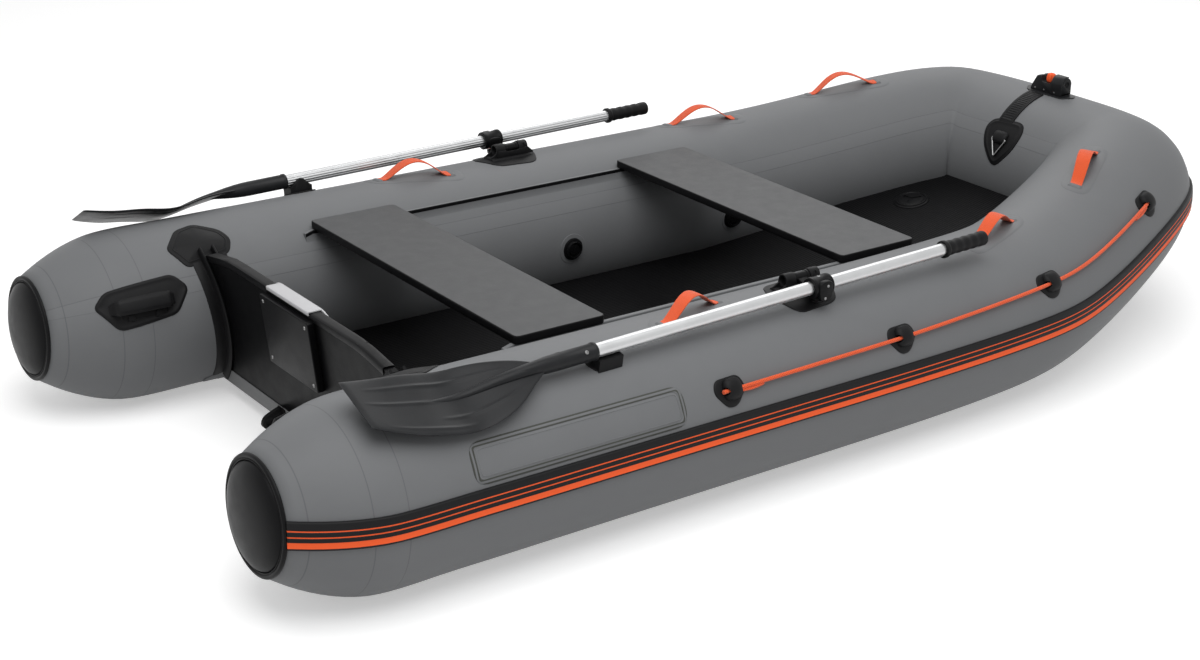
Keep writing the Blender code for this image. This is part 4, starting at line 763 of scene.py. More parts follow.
PALE_CLOTH = cloth("pale_cloth", LINING, 0.55)
UNDER_CLOTH = cloth("under_cloth", GREY, 0.55)
RUBBER = moulded("black_rubber", BLACK, 0.50, 0.0014, 0.00006, shine=0.13)
PLASTIC = moulded("black_plastic", (0.0045, 0.0045, 0.0050), 0.36, 0.0009, 0.00005, shine=0.10)
OAR_PLASTIC = moulded("oar_plastic", (0.0122, 0.0128, 0.0140), 0.36, 0.0012, 0.00005)
SOFT_EDGE = moulded("edge_rubber", (0.0050, 0.0050, 0.0055), 0.40, 0.0012, 0.00004, shine=0.09)
SEAT_COVER = moulded("seat_cover", (0.056, 0.057, 0.059), 0.44, 0.0022, 0.00012, 0.10)
BOARD = moulded("coated_board", (0.0028, 0.0028, 0.0032), 0.36, 0.0015, 0.00005, shine=0.05)
PALE_PLASTIC = moulded("pale_plastic", (0.50, 0.50, 0.51), 0.42, 0.0012, 0.00006, 0.06)
ORANGE_PLASTIC = moulded("orange_plastic", ORANGE, 0.34, 0.0009, 0.00004, 0.08)
ALUMINIUM = moulded("aluminium", (0.55, 0.555, 0.56), 0.34, 0.0008, 0.00002, 0.06, metallic=1.0)
STEEL = moulded("steel", (0.26, 0.26, 0.26), 0.32, 0.0008, 0.00001, 0.06, metallic=1.0)


# What repeats

def repeating_tree():
    """Geometry Nodes that put a pattern at every point, turned by the point's attribute."""
    tree = bpy.data.node_groups.new("pattern at places", "GeometryNodeTree")
    for label, kind in (("Geometry", "Geometry"), ("Pattern", "Object"), ("Size", "Float"),
                        ("Finish", "Material")):
        tree.interface.new_socket(label, in_out="INPUT", socket_type="NodeSocket" + kind)
    tree.interface.new_socket("Geometry", in_out="OUTPUT", socket_type="NodeSocketGeometry")
    graph = Graph(tree)
    inputs = graph.node("NodeGroupInput").outputs
    points = graph.node("GeometryNodeMeshToPoints", {"Mesh": inputs["Geometry"]})
    shape = graph.node("GeometryNodeObjectInfo", {"Object": inputs["Pattern"]})
    turn = graph.node("GeometryNodeInputNamedAttribute", {"Name": "turn"},
                      data_type="FLOAT_VECTOR")
    spread = graph.node("GeometryNodeInstanceOnPoints", {
        "Points": points.outputs[0], "Instance": shape.outputs["Geometry"],
        "Rotation": next(s for s in turn.outputs if s.enabled), "Scale": inputs["Size"]})
    real = graph.node("GeometryNodeRealizeInstances", {"Geometry": spread.outputs[0]})
    painted = graph.node("GeometryNodeSetMaterial", {
        "Geometry": real.outputs[0], "Material": inputs["Finish"]})
    graph.node("NodeGroupOutput", {"Geometry": painted.outputs[0]})
    return tree


REPEATING = repeating_tree()


def repeated(name, pattern, places, finish, slot, size=1.0, **where):
    """Geometry Nodes put the pattern at each (point, facing, across), as one piece."""
    cloud = bpy.data.meshes.new("places")
    cloud.from_pydata([tuple(point) for point, _, _ in places], [], [])
    turns = [angle for _, facing, across in places for angle in turned(facing, across).to_euler()]
    cloud.attributes.new("turn", "FLOAT_VECTOR", "POINT").data.foreach_set("vector", turns)
    shape = placed("pattern", pattern)
    pattern.materials.append(finish)
    values = {"Pattern": shape, "Size": size, "Finish": finish}
    helper = placed("helper", cloud)
    modifier = helper.modifiers.new("shape", "NODES")
    modifier.node_group = REPEATING
    for item in REPEATING.interface.items_tree:
        if item.in_out == "INPUT" and item.name in values:
            modifier[item.identifier] = values[item.name]
    mesh = as_shown(helper)
    bpy.data.objects.remove(shape)
    add(name, mesh, finish, slot, **where)


def screw():
    """A countersunk screw's head with a cross recess, standing on its base."""
    head, height = 0.0045, 0.0016
    mesh = lathe([(0, -0.001), (head, -0.001), (head, 0.0004), (head * 0.88, height * 0.75),
                  (head * 0.55, height), (0, height)], 20)
    for turn in (0, 90):
        arm = prism(box(-head * 0.55, -head * 0.13, head * 0.55, head * 0.13), height * 0.35,
                    height * 1.5)
        arm.transform(Matrix.Rotation(math.radians(turn), 4, "Z"))
        mesh = cut(mesh, arm)
    return mesh


def screws_at(name, places, size=1.0, **where):
    """Screws at (point, facing) places."""
    places = [(point, facing, (0.3, 0.5, 0.8)) for point, facing in places]
    repeated(name, screw(), places, STEEL, "steel", size, **where)


# Hull

def hull_skin():
    stations = np.linspace(STERN, 2 * BOW - STERN, 310)
    start, sides = -148.0, 96
    angles = np.linspace(start, start + 360.0, sides + 1)[:-1]
    around = girth(start) + girth(360.0) * np.arange(sides + 1) / sides
    mesh = loft(skin(stations[:, None], angles[None, :]), stations, around)
    add("hull_skin", mesh, HULL_CLOTH, "grey_fabric", "port_side_tube", "starboard_side_tube",
        "bow_tube", crease=60)


def stern_caps():
    centre, inward, upward = hull_rows(STERN)[0].reshape(3, 3)
    rim = mm((-1, 0), (1.2, 1), (1.5, 3.5), (0.6, 6.2), (-2, 8), (-4.6, 8.2), (-7, 7.5), (-7.8, 6),
             (-9, 5.8), (-9.8, 7.2), (-11.2, 7.4), (-12.2, 5.8))
    profile = [(0, 0), *((CAP_RADIUS + out, height) for out, height in rim)]
    inner, low = CAP_RADIUS - 0.013, 0.0045
    for turn in (0, 6, 14, 24, 34, 44, 54, 63, 71, 78, 84):
        lean = math.radians(turn)
        profile.append((inner * math.cos(lean), low + (CAP_DOME - low) * math.sin(lean)))
    profile.append((0, CAP_DOME))
    mesh = aim(lathe(profile, 96), centre, np.cross(inward, upward), upward)
    add_pair("stern_cap", mesh, SOFT_EDGE, "black_rubber", "stern_cap", crease=50)


def rub_strake():
    """The band's section is (share of its width, share of its height) pairs."""
    shape = [(0.0, 0.15), (0.015, 0.55), (0.05, 0.85), (0.12, 0.97), (0.27, 1.0), (0.285, 0.90),
             (0.335, 0.90), (0.35, 1.0), (0.475, 1.0), (0.49, 0.90), (0.53, 0.90), (0.545, 1.0),
             (0.665, 1.0), (0.68, 0.92), (0.89, 0.92), (0.905, 0.99), (0.95, 0.88), (0.985, 0.55),
             (1.0, 0.15)]
    stations = np.linspace(STERN, 2 * BOW - STERN, 320)
    radii = np.linalg.norm(hull_rows(stations)[0][:, 3:6], axis=1)
    rings = []
    for share, proud in shape + [(1.0, -0.2), (0.0, -0.2)]:
        turn = STRAKE_ANGLE + np.degrees((share - 0.5) * STRAKE_WIDTH / radii)
        rings.append(skin(stations, turn, 0.0002 + STRAKE_PROUD * proud))
    across = [share * STRAKE_WIDTH for share, _ in shape] + [STRAKE_WIDTH, 0.0, 0.0]
    add("rub_strake_band", loft(np.swapaxes(rings, 0, 1), stations, across), STRAKE_RUBBER,
        "black_rubber", "rub_strake", crease=28)


def side_panels():
    (centre, middle), (reach, rise) = PANEL_CENTRE, PANEL_HALF
    edge = mm((0, 0.6), (0.7, 1.4), (8, 1.6), (8.6, 2.6), (10.4, 2.6), (11, 1.6), (15, 1.6),
              (15.6, 2.3), (16.8, 2.3), (17.4, 1.4))
    for word, station in (("port", centre), ("starboard", 2 * BOW - centre)):
        corners = box(station - reach, middle - rise, station + reach, middle + rise)
        add(f"{word}_side_panel", patch(corners, edge, 0.030, 0.008), PANEL_CLOTH, "grey_fabric",
            crease=50)


def seats():
    bottom = SEAT_TOP - SEAT_THICKNESS
    steps = [(bottom, 0.0032), (bottom + 0.0006, 0.0010), (bottom + 0.0018, 0.0002),
             (bottom + 0.0060, 0.0), (SEAT_TOP - 0.0040, 0.0), (SEAT_TOP - 0.0016, 0.0003),
             (SEAT_TOP - 0.0005, 0.0010), (SEAT_TOP, 0.0022), (SEAT_TOP, 0.0040)]
    for node, x in SEATS:
        rings = []
        for height, inset in steps:
            a, b = SEAT_DEPTH / 2 - inset, SEAT_HALF_LENGTH - inset
            outline = soften(box(a, b, -a, -b), 0.014 - inset, 7)
            rings.append([(x + along, across, height) for along, across in outline])
        add(f"{node}_board", loft(rings, surface_of=lambda i, k: int(i <= 6)),
            [SEAT_COVER, SOFT_EDGE], "seat_board", node, body=node, crease=40)


def seat_rails():
    """A cloth foot on the tube and a ridge, rounded down at both ends; the ridge's inboard face and
    edge are black, partly the rail's black edge and partly painted shade below it.
    """
    top = SEAT_TOP - SEAT_THICKNESS - 0.0003
    feet = ([43.2, 44.4, 45.4, 50.6, 51.6, 52.6], [-0.001, 0.0004, 0.0016, 0.0016, 0.0004, -0.001])
    ridge = ((0.4275, -0.0088), (0.4275, -0.0015), (0.4290, 0.0), (0.4370, 0.0),
             (0.4386, -0.0015), (0.4388, -0.0060))
    rings = []
    for station in np.linspace(RAIL_AFT, RAIL_FORE, 60):
        end = min(station - RAIL_AFT, RAIL_FORE - station)
        share = min(1.0, max(0.0, end / 0.014)) ** 0.5
        foot, x = skin(station, *feet), hull_rows(station)[0][0]
        height = foot[3][2] + (top - foot[3][2]) * (0.35 + 0.65 * share)
        rings.append([*foot[:3], *((x, y, height + drop) for y, drop in ridge), *foot[3:]])
    # painted shade: faces 3 and 4, the ridge's inboard face and edge, take the black finish for the
    # black edge and the shade beneath it
    add_pair("seat_slide_rail", loft(rings, surface_of=lambda i, k: int(3 <= k <= 4)),
             [UNDER_CLOTH, SOFT_EDGE], "black_rubber", "seat_rail")


def deck_edge(station, below=0.0, lift=0.0):
    """The line where the air deck bears on the tube, or one some degrees below it."""
    share = share_between(station, 0.37, 0.85)
    return skin(station, -30.0 + 13.5 * share - below, 0.0006 + 0.0012 * share + lift)


def deck_height(x):
    edge = deck_edge(np.linspace(-0.5, BOW - 0.05, 80))
    order = np.argsort(edge[:, 0])
    return float(np.interp(x, edge[order, 0], edge[order, 2]))


def air_deck():
    stations = np.concatenate([np.linspace(-1.0, -0.2, 28), np.linspace(-0.17, BOW - 0.05, 70)])
    edge = deck_edge(stations)
    low = edge - [0.0, 0.0, DECK_THICKNESS]
    sides = [deck_edge(stations, below, lift)
             for below, lift in ((5, 0.0008), (9, 0.0024), (14, 0.0048), (18, 0.0078))]
    rings = [low * [1, 0.99, 1], *sides[::-1],
             *(edge * [1, share, 1] for share in np.linspace(1.0, -1.0, 25)),
             *(side * MIRROR for side in sides), low * [1, -0.99, 1]]
    add("air_deck_cover", loft(np.swapaxes(rings, 0, 1)), DECK_CLOTH, "deck_fabric", "air_deck",
        crease=50)


def bottom_sheet():
    """Coated sheet glued under the tubes, with two welded tapes along it."""
    edges = np.linspace(*BOTTOM_EDGE, 5)
    shares = [0.96, 0.37, 0.36, 0.30, 0.29, -0.29, -0.30, -0.36, -0.37, -0.96]
    rings = []
    for station in np.linspace(-1.0585, 1.45, 64):
        glued, under = skin(station, edges, 0.0003), skin(station, edges, 0.0023)
        upper = [glued[-1] * [1, share, 1] for share in shares]
        lower = [under[-1] * [1, share, 1] - [0, 0, 0.0008 * (0.295 < abs(share) < 0.365)]
                 for share in shares[::-1]]
        rings.append([*glued, *upper, *(glued[::-1] * MIRROR), *(under * MIRROR), *lower,
                      *under[::-1]])
    add("bottom_sheet", loft(rings), UNDER_CLOTH, "grey_fabric", "bottom_fabric", crease=50)


# Transom

BOARD_UP = Vector((-math.sin(TRANSOM_RAKE), 0.0, math.cos(TRANSOM_RAKE)))
BOARD_AFT = Vector((-math.cos(TRANSOM_RAKE), 0.0, -math.sin(TRANSOM_RAKE)))


def board_point(y, z, aft=0.0):
    """A point of the leaning board's middle plane, or one aft of it."""
    lean = math.tan(TRANSOM_RAKE) * (z - TUBE_RADIUS)
    return Vector((TRANSOM_X - lean - aft / math.cos(TRANSOM_RAKE), y, z))


def board_slab(outline, fore, aft):
    return loft([[board_point(y, z, offset) for y, z in outline] for offset in (fore, aft)])


def board_rail(section, line):
    """A section of (aft, up) pairs along a line of the board."""
    return loft([[board_point(y, z, aft) + BOARD_UP * up for aft, up in section] for y, z in line])


def transom_trim():
    line = soften([(0.400, 0.3695), (0.300, TRANSOM_TOP), (-0.300, TRANSOM_TOP), (-0.400, 0.3695)],
                  0.05, 6, closed=False)
    section = mirrored(mm((12.8, 0.3), (12.8, -15), (14, -15.8), (14.8, -14.5), (14.8, -3),
                          (13.8, 0.2), (10.8, 1.8), (6.8, 2.2)))
    add("transom_trim", board_rail(section, line), SOFT_EDGE, "black_plastic", "transom_edge_trim")


def motor_plate():
    half, low, high = 0.111, 0.205, 0.3734
    start, thick, inset = TRANSOM_THICKNESS / 2 + 0.0003, 0.018, 0.015
    outline = soften([(half, low), (half, high), (-half, high), (-half, low)], 0.007, 5)
    mesh = bevelled(board_slab(outline, start, start + thick), 0.0025, 3)
    add("motor_plate_block", mesh, PLASTIC, "black_plastic", "motor_plate")
    screws_at("motor_plate_screws", [
        (board_point(side * (half - inset), z, start + thick), BOARD_AFT)
        for side in (-1, 1) for z in (low + inset, high - inset)])


def motor_pad():
    """Saddle over the trim, with a flange on the cockpit side and a lip on the aft side."""
    section = mm((-18.1, 3.3), (-16.3, 5.3), (16.3, 5.3), (18.1, 3.3), (18.1, -3.5), (17.3, -4.3),
                 (15.7, -4.3), (15.1, -3.5), (15.1, 2.3), (-15.1, 2.3), (-15.1, -30), (-18.1, -30))
    saddle = board_rail(section, [(y, TRANSOM_TOP) for y in np.linspace(0.096, -0.096, 9)])
    corners = [(y, TRANSOM_TOP + up) for y, up in mm(
        (140, -12), (100, 5.3), (-100, 5.3), (-140, -12), (-120, -30), (120, -30))]
    flange = bevelled(board_slab(soften(corners, 0.014, 6), -0.0187, -0.0149), 0.0008)
    add("motor_pad_saddle", fuse(bevelled(saddle, 0.0006), flange), PALE_PLASTIC, "light_plastic",
        "motor_pad")


def transom_holders():
    """Glued rubber channels up the tubes, with two raised beads and a corner patch."""
    wall = TRANSOM_THICKNESS / 2 / math.cos(TRANSOM_RAKE) + 0.0003
    bead = [(-wall - out, lift) for out, lift in mm(
        (8.5, 2.5), (7.8, 8.5), (6.6, 19), (4.5, 21.7), (1.5, 21), (0, 18.5), (0, 3.5))]
    half = mm((-46, -1), (-45.8, 1.6), (-44, 2.6), (-30, 2.5)) + bead
    rings = []
    for angle in np.linspace(-46.0, 53.0, 40):
        ring = []
        for along, lift in mirrored(half):
            height = TUBE_RADIUS + (TUBE_RADIUS + lift) * math.sin(math.radians(angle))
            ring.append(skin(board_point(0.0, height).x + along, angle, lift)[0])
        rings.append(ring)
    corners = on_tube([(-1.176, 59.5), (-1.129, 76.4), (-1.078, 80.2), (-1.025, 68.4),
                       (-1.011, 58.6), (-1.030, 48.0), (-1.144, 43.0)])
    edge = mm((0, 1.2), (1, 2.4), (10, 2.8), (11, 3.6), (13, 3.6), (14, 2.8))
    add_pair("transom_channel", fuse(loft(rings), patch(corners, edge, crown=0.006)), RUBBER,
             "black_rubber", "transom_holder")


def bottom_hem():
    """The bottom sheet's hem turned up the board, and its ends on the tubes."""
    section = ((0.0375, 0.0128), (0.0755, 0.0128), (0.0762, 0.0136), (0.0755, 0.0146),
               (0.0395, 0.0150), (0.0370, 0.0140))
    hem = [[board_point(y, z, aft) for z, aft in section] for y in np.linspace(-0.44, 0.44, 30)]
    add("bottom_hem", loft(hem), PALE_CLOTH, "grey_fabric")
    corners = on_tube([(-1.108, -57.0), (-1.032, -57.0), (-1.032, -47.0), (-1.062, -43.0),
                       (-1.108, -50.0)])
    add_pair("hem_end", patch(corners, mm((0, 2.2), (1, 3.4)), 0.008, 0.004), PATCH_CLOTH,
             "grey_fabric")


def towing_lugs():
    half = 0.0055
    lug = prism(soften(mm((-10, -18), (38, -18), (51, -6), (51, 6), (38, 18), (-10, 18)), 0.012, 5),
                -half, half)
    for place, radius in ((0.014, 0.0045), (0.034, 0.0085)):
        for face in (-half, half):
            hole = rod(radius, -0.0045, 0.0045)
            hole.transform(Matrix.Translation((place, 0, face)))
            lug = cut(lug, hole)
    lug = aim(bevelled(lug, 0.0012), board_point(0.13, 0.060, 0.020), (0, -1, 0),
              (-0.925, 0, -0.381))
    foot = board_slab(soften(box(0.112, 0.045, 0.148, 0.075), 0.006, 4), 0.0147, 0.0178)
    add_pair("towing_lug", fuse(lug, bevelled(foot, 0.0008)), RUBBER, "black_rubber")


# Valves

def chamber_valves():
    rim = mm((0, -4), (29.7, -4), (30, 0.4), (29.55, 2.2), (28.2, 3.2), (24, 3.8), (23.1, 9.6),
             (22.2, 11.64), (21, 12), (19.8, 11.64), (19.2, 9.6), (18, 4.8), (16.2, 4.32),
             (15.6, 7.44), (14.4, 8.64), (9, 9.12), (0, 9.36))
    bar = prism(soften(box(-0.0135, -0.0028, 0.0135, 0.0028), 0.002, 2), 0.0072, 0.01188)
    cap = fuse(lathe(rim, 64), bevelled(bar, 0.0007))
    tooth = bevelled(prism(box(-0.0006, -0.0012, 0.0018, 0.0012), -0.003, 0.004), 0.0004, 1)
    teeth, ring = 18, 0.0222
    spots = (("port_chamber_valve", -0.08, -1.0), ("starboard_chamber_valve", 2 * BOW + 0.08, -1.0),
             ("bow_chamber_valve", 0.4686, -4.4))
    for node, station, angle in spots:
        point, normal = skin_and_normal(station, angle, 0.0004)
        origin, out = Vector(point[0]), Vector(normal[0])
        add(f"{node}_cap", aim(cap.copy(), origin, out, (0.3, 0, 1)), PLASTIC, "black_plastic",
            node)
        first = out.cross(Vector((1, 0, 0))).normalized()
        ways = [Matrix.Rotation(2 * math.pi * k / teeth, 3, out) @ first for k in range(teeth)]
        places = [(origin + out * 0.0066 + way * ring, out, way) for way in ways]
        repeated(f"{node}_teeth", tooth.copy(), places, PLASTIC, "black_plastic")
        foot = arc(0.041, 360 * np.arange(28) / 28, (station, girth(angle)))
        add(f"{node}_base", patch(foot, mm((0, 0.4), (1, 1.1)), 0.001), PATCH_CLOTH, "grey_fabric")


def deck_valve():
    x, y, radius = 0.925, 0.14, 0.050
    slope = (deck_height(x + radius) - deck_height(x - radius)) / (2 * radius)
    up = Vector((-slope, 0, 1)).normalized()
    body = lathe(mm((0, -3), (50, -3), (50, 1), (48.8, 2.2), (45, 3), (43.5, 6), (41.5, 6.6),
                    (39.5, 6), (38, 4), (36.5, 4), (35.5, 5.2), (33, 5.6), (0, 5.6)), 72)
    arm = soften(mm((0, -5.5), (30, -4), (30, 4), (0, 5.5)), 0.003, 2)
    for turn in (90, 210, 330):
        cutter = prism(arm, 0.0036, 0.02)
        cutter.transform(Matrix.Rotation(math.radians(turn), 4, "Z"))
        body = cut(body, cutter)
    origin = Vector((x, y, deck_height(x))) + up * 0.0007
    add("deck_valve_cap", aim(body, origin, up, (1, 0, 0)), PLASTIC, "black_plastic", "deck_valve")


# Lifelines

ROPE_RADIUS, ROPE_LIFT = 0.0045, 0.009


def rope_angle(station):
    return np.interp(station, *zip(*EYES))


def lifelines():
    """The rope through its eyes, and by the first and the last its end tucked back beside it."""
    first, last = EYES[0][0], EYES[-1][0]
    stations = np.linspace(first - 0.024, last + 0.024, 170)
    lines = [pipe(skin(stations, rope_angle(stations), ROPE_LIFT), ROPE_RADIUS)]
    for near, far in ((first + 0.020, first + 0.085), (last - 0.085, last - 0.020)):
        spots = np.linspace(near, far, 14)
        aside = 0.0072 * (np.sin(np.linspace(0, math.pi, 14)) * 0.4 + 0.6)
        tail = skin(spots, rope_angle(spots) + turn_of(aside), ROPE_LIFT - 0.0018)
        lines.append(pipe(tail, ROPE_RADIUS * 0.82))
    add_pair("lifeline_rope", fuse(*lines), ROPE_COVER, "orange_webbing", "lifeline", crease=60)


def line_eyes():
    outline = mm((-34, -28), (30, -30), (43, 0), (14, 35), (-12, 36), (-43, 0))
    bore = mm((0, -50), (9.5, -50), (8.8, -10), (6.2, -4), (6.2, 50), (0, 50))
    for number, (station, angle) in enumerate(EYES, 1):
        corners = [(station + a, girth(angle) + b) for a, b in outline]
        base = patch(corners, mm((0, 1.4), (1.2, 2.6), (6, 3.2)), spacing=0.004, crown=0.0010)
        hood = bridge(station + 0.004 + 0.024 * np.linspace(-1, 1, 21), angle, (0.009, 0.015),
                      (0.0028, 0.0150), (0.0, -0.003), (0.0, 0.33), 0.0022, 2.8, 15)
        ends = np.array([station - 0.03, station + 0.03])
        near, far = skin(ends, rope_angle(ends), ROPE_LIFT)
        hood = cut(hood, aim(lathe(bore, 20), (near + far) / 2, far - near))
        add_pair(f"line_eye_{number}_hood", fuse(base, hood), RUBBER, "black_rubber",
                 f"line_eye_{number}", crease=45)


# Handles

def strap(aft, fore, angle_of):
    """A webbing strap that arches over the tube from one station to another."""
    foot, height, thickness, half, columns = 0.012, 0.042, 0.0026, 0.015, 9
    shares = np.linspace(0, 1, 31)
    swell = [(aft + foot + (fore - aft - 2 * foot) * share,
              height * abs(math.sin(math.pi * share)) ** 1.3) for share in shares]
    points = [(aft, 0.0), (aft + foot * 0.5, 0.0), *swell, (fore - foot * 0.5, 0.0), (fore, 0.0)]
    spread = np.linspace(-1, 1, columns)
    pinch = 1 - 0.30 * np.abs(spread) ** 8
    rings = []
    for k, (station, lift) in enumerate(points):
        before, after = points[max(k - 1, 0)], points[min(k + 1, len(points) - 1)]
        run = Vector((after[0] - before[0], after[1] - before[1])).normalized()
        across = angle_of(station) + turn_of(half * spread)
        low = skin(station, across, 0.0008 + lift)
        high = skin(station - run.y * thickness, across[::-1],
                    0.0008 + lift + run.x * thickness * pinch)
        rings.append(np.concatenate([low, high]))
    edge = list(half * spread)
    return loft(rings, lengths([ring[0] for ring in rings]), edge + edge[::-1] + [edge[0]])


def grab_handles():
    cover = mm((0, 0.7), (1, 1.4), (4, 3.8), (5.5, 4.2))
    for word, aft, fore in GRAB_HANDLES:
        node = f"{word}_grab_handle"

        def angle_of(station, aft=aft, fore=fore):
            return aft[1] + (fore[1] - aft[1]) * (station - aft[0]) / (fore[0] - aft[0])

        def beside(station, across):
            return station, girth(angle_of(station)) + across

        add_pair(f"{node}_strap", strap(aft[0], fore[0], angle_of), WEBBING, "orange_webbing",
                 node, crease=60)
        low, high = aft[0] - 0.034, fore[0] + 0.034
        corners = [beside(low, -0.040), beside(low, 0.040), beside(high, 0.040),
                   beside(high, -0.040)]
        parts = [patch(corners, mm((0, 0.1), (0.8, 0.5)), 0.048, 0.006)]
        for end, out in ((aft[0], -1), (fore[0], 1)):
            middle = girth(angle_of(end))
            outer, inner = end + out * 0.012, end - out * 0.005
            foot = [(outer, middle - 0.018), (outer, middle + 0.018), (inner, middle + 0.019),
                    (inner, middle - 0.019)]
            parts.append(patch(foot, cover, 0.005, 0.003))
        add_pair(f"{node}_base", fuse(*parts), PATCH_CLOTH, "grey_fabric")


def lift_handles():
    """A moulded bar over a well, with two tabs, on a six-sided base."""
    aft, fore, angle, rise = -1.352, -1.198, 25.5, 0.018
    corners = on_tube([(-1.385, 29.0), (-1.355, 39.0), (-1.188, 41.5), (-1.156, 30.6),
                       (-1.195, 15.0), (-1.337, 10.0)])
    base = patch(corners, mm((0, 1.2), (1.2, 2.4), (7.5, 3), (9, 2.2)), 0.016, 0.005)
    section = ((-0.80, 0), (-1.0, 0.28), (-0.97, 0.62), (-0.74, 0.92), (-0.4, 1.0), (0.4, 1.0),
               (0.74, 0.92), (0.97, 0.62), (1.0, 0.28), (0.80, 0))
    across, levels = (np.array(column) for column in zip(*section))
    rings = []
    for share in np.linspace(0, 1, 33):
        up = share_between(min(share, 1 - share) * (fore - aft), 0.0, 0.020)
        up = up * up * (3 - 2 * up)
        low, high = 0.0004 + up * rise, 0.0030 + up * (rise + 0.0065)
        half = 0.0125 + 0.0045 * up
        rings.append(skin(aft + (fore - aft) * share, angle + turn_of(half * across),
                          low + (high - low) * levels))
    start, end = aft + 0.022, fore - 0.022
    well = patch(on_tube([(start, angle - 8.8), (start, angle + 6.0), (end, angle + 6.0),
                          (end, angle - 8.8)]),
                 mm((0, 3), (0.8, 3.6), (2.4, 3.6), (3, 2.6)), 0.008, 0.004)
    parts = [base, well, loft(rings)]
    for station in (aft + 0.045, fore - 0.045):
        tab = on_tube([(station - 0.009, angle - 9.4), (station - 0.007, angle - 5.4),
                       (station + 0.007, angle - 5.4), (station + 0.009, angle - 9.4)])
        parts.append(patch(tab, mm((0, 4), (0.8, 6.2)), 0.003, 0.002))
    add_pair("lift_handle_grip", fuse(*parts), RUBBER, "black_rubber", "lift_handle", crease=45)


# Oars

def oar_axis(x):
    return Vector((x, OAR_SPREAD - OAR_TOE_IN * x, OAR_HEIGHT + OAR_CLIMB * x))


OAR_RUN = (oar_axis(1.0) - oar_axis(0.0)).normalized()
LOCK_CENTRE = oar_axis(LOCK_X)
BARREL = Vector((0.0, BARREL_Y, BARREL_Z))
PIN_UP = Vector((0.0, math.sin(math.radians(20)), math.cos(math.radians(20))))
BLADE_INNER = mm((136, -12), (170, -30), (225, -50), (286, -65), (351, -72), (437, -80), (552, -83))
BLADE_OUTER = mm((136, 18), (166, 36), (206, 63), (262, 85), (334, 92), (437, 77), (544, 38))
BLADE_SPOON = mm((136, 0), (250, -8), (330, -18), (400, -8), (470, 0), (560, 19))
BLADE_RIBS = ((0.20, 0.0020, 0.15, 0.92), (0.47, 0.0016, 0.55, 0.95), (0.74, 0.0020, 0.10, 0.62),
              (0.90, 0.0014, 0.40, 0.90))


def oar_screws(name, places, size=1.0):
    for side, word in SIDES:
        screws_at(f"{word}_{name}", places, size, body=f"{word}_oar", side=side)


def oar_shaft():
    """A tube with shallow grooves along it."""
    start = oar_axis(SLEEVE_X) - OAR_RUN * 0.0847
    length = (oar_axis(GRIP_FORE) - OAR_RUN * 0.0063 - start).length
    grooves = (118, 144, 170, 196, 222, 315)
    ring = []
    for turn in np.arange(0, 360, 2.5):
        away = min(abs((turn - groove + 180) % 360 - 180) for groove in grooves)
        ring += arc(SHAFT_RADIUS - 0.0010 * max(0.0, 1 - (away / 6.5) ** 2), [turn])
    mesh = loft([[(x, y, z) for x, y in ring] for z in np.linspace(0, length, 24)])
    add_pair("oar_shaft_tube", aim(mesh, start, OAR_RUN, (0, 1, 0)), ALUMINIUM, "aluminium",
             "oar_shaft", body="oar", crease=40)


def oar_grip():
    length = (oar_axis(GRIP_FORE) - oar_axis(GRIP_AFT)).length
    waves = [(0.0170 + 0.0006 * math.cos(2 * math.pi * z / 0.024), z)
             for z in np.linspace(0.014, length - 0.014, 45)]
    profile = mm((0, -0.2), (15.2, -0.2), (20, 0), (20.5, 0.8), (20.5, 7.8), (19.8, 9.2),
                 (17.8, 11.2)) + waves
    profile += [(0.0175, length - 0.010), (0.0175, length - 0.005), (0.0166, length - 0.0015),
                (0.0148, length), (0, length)]
    add_pair("oar_grip_core", aim(lathe(profile), oar_axis(GRIP_AFT), OAR_RUN), RUBBER,
             "black_rubber", "oar_grip", body="oar")


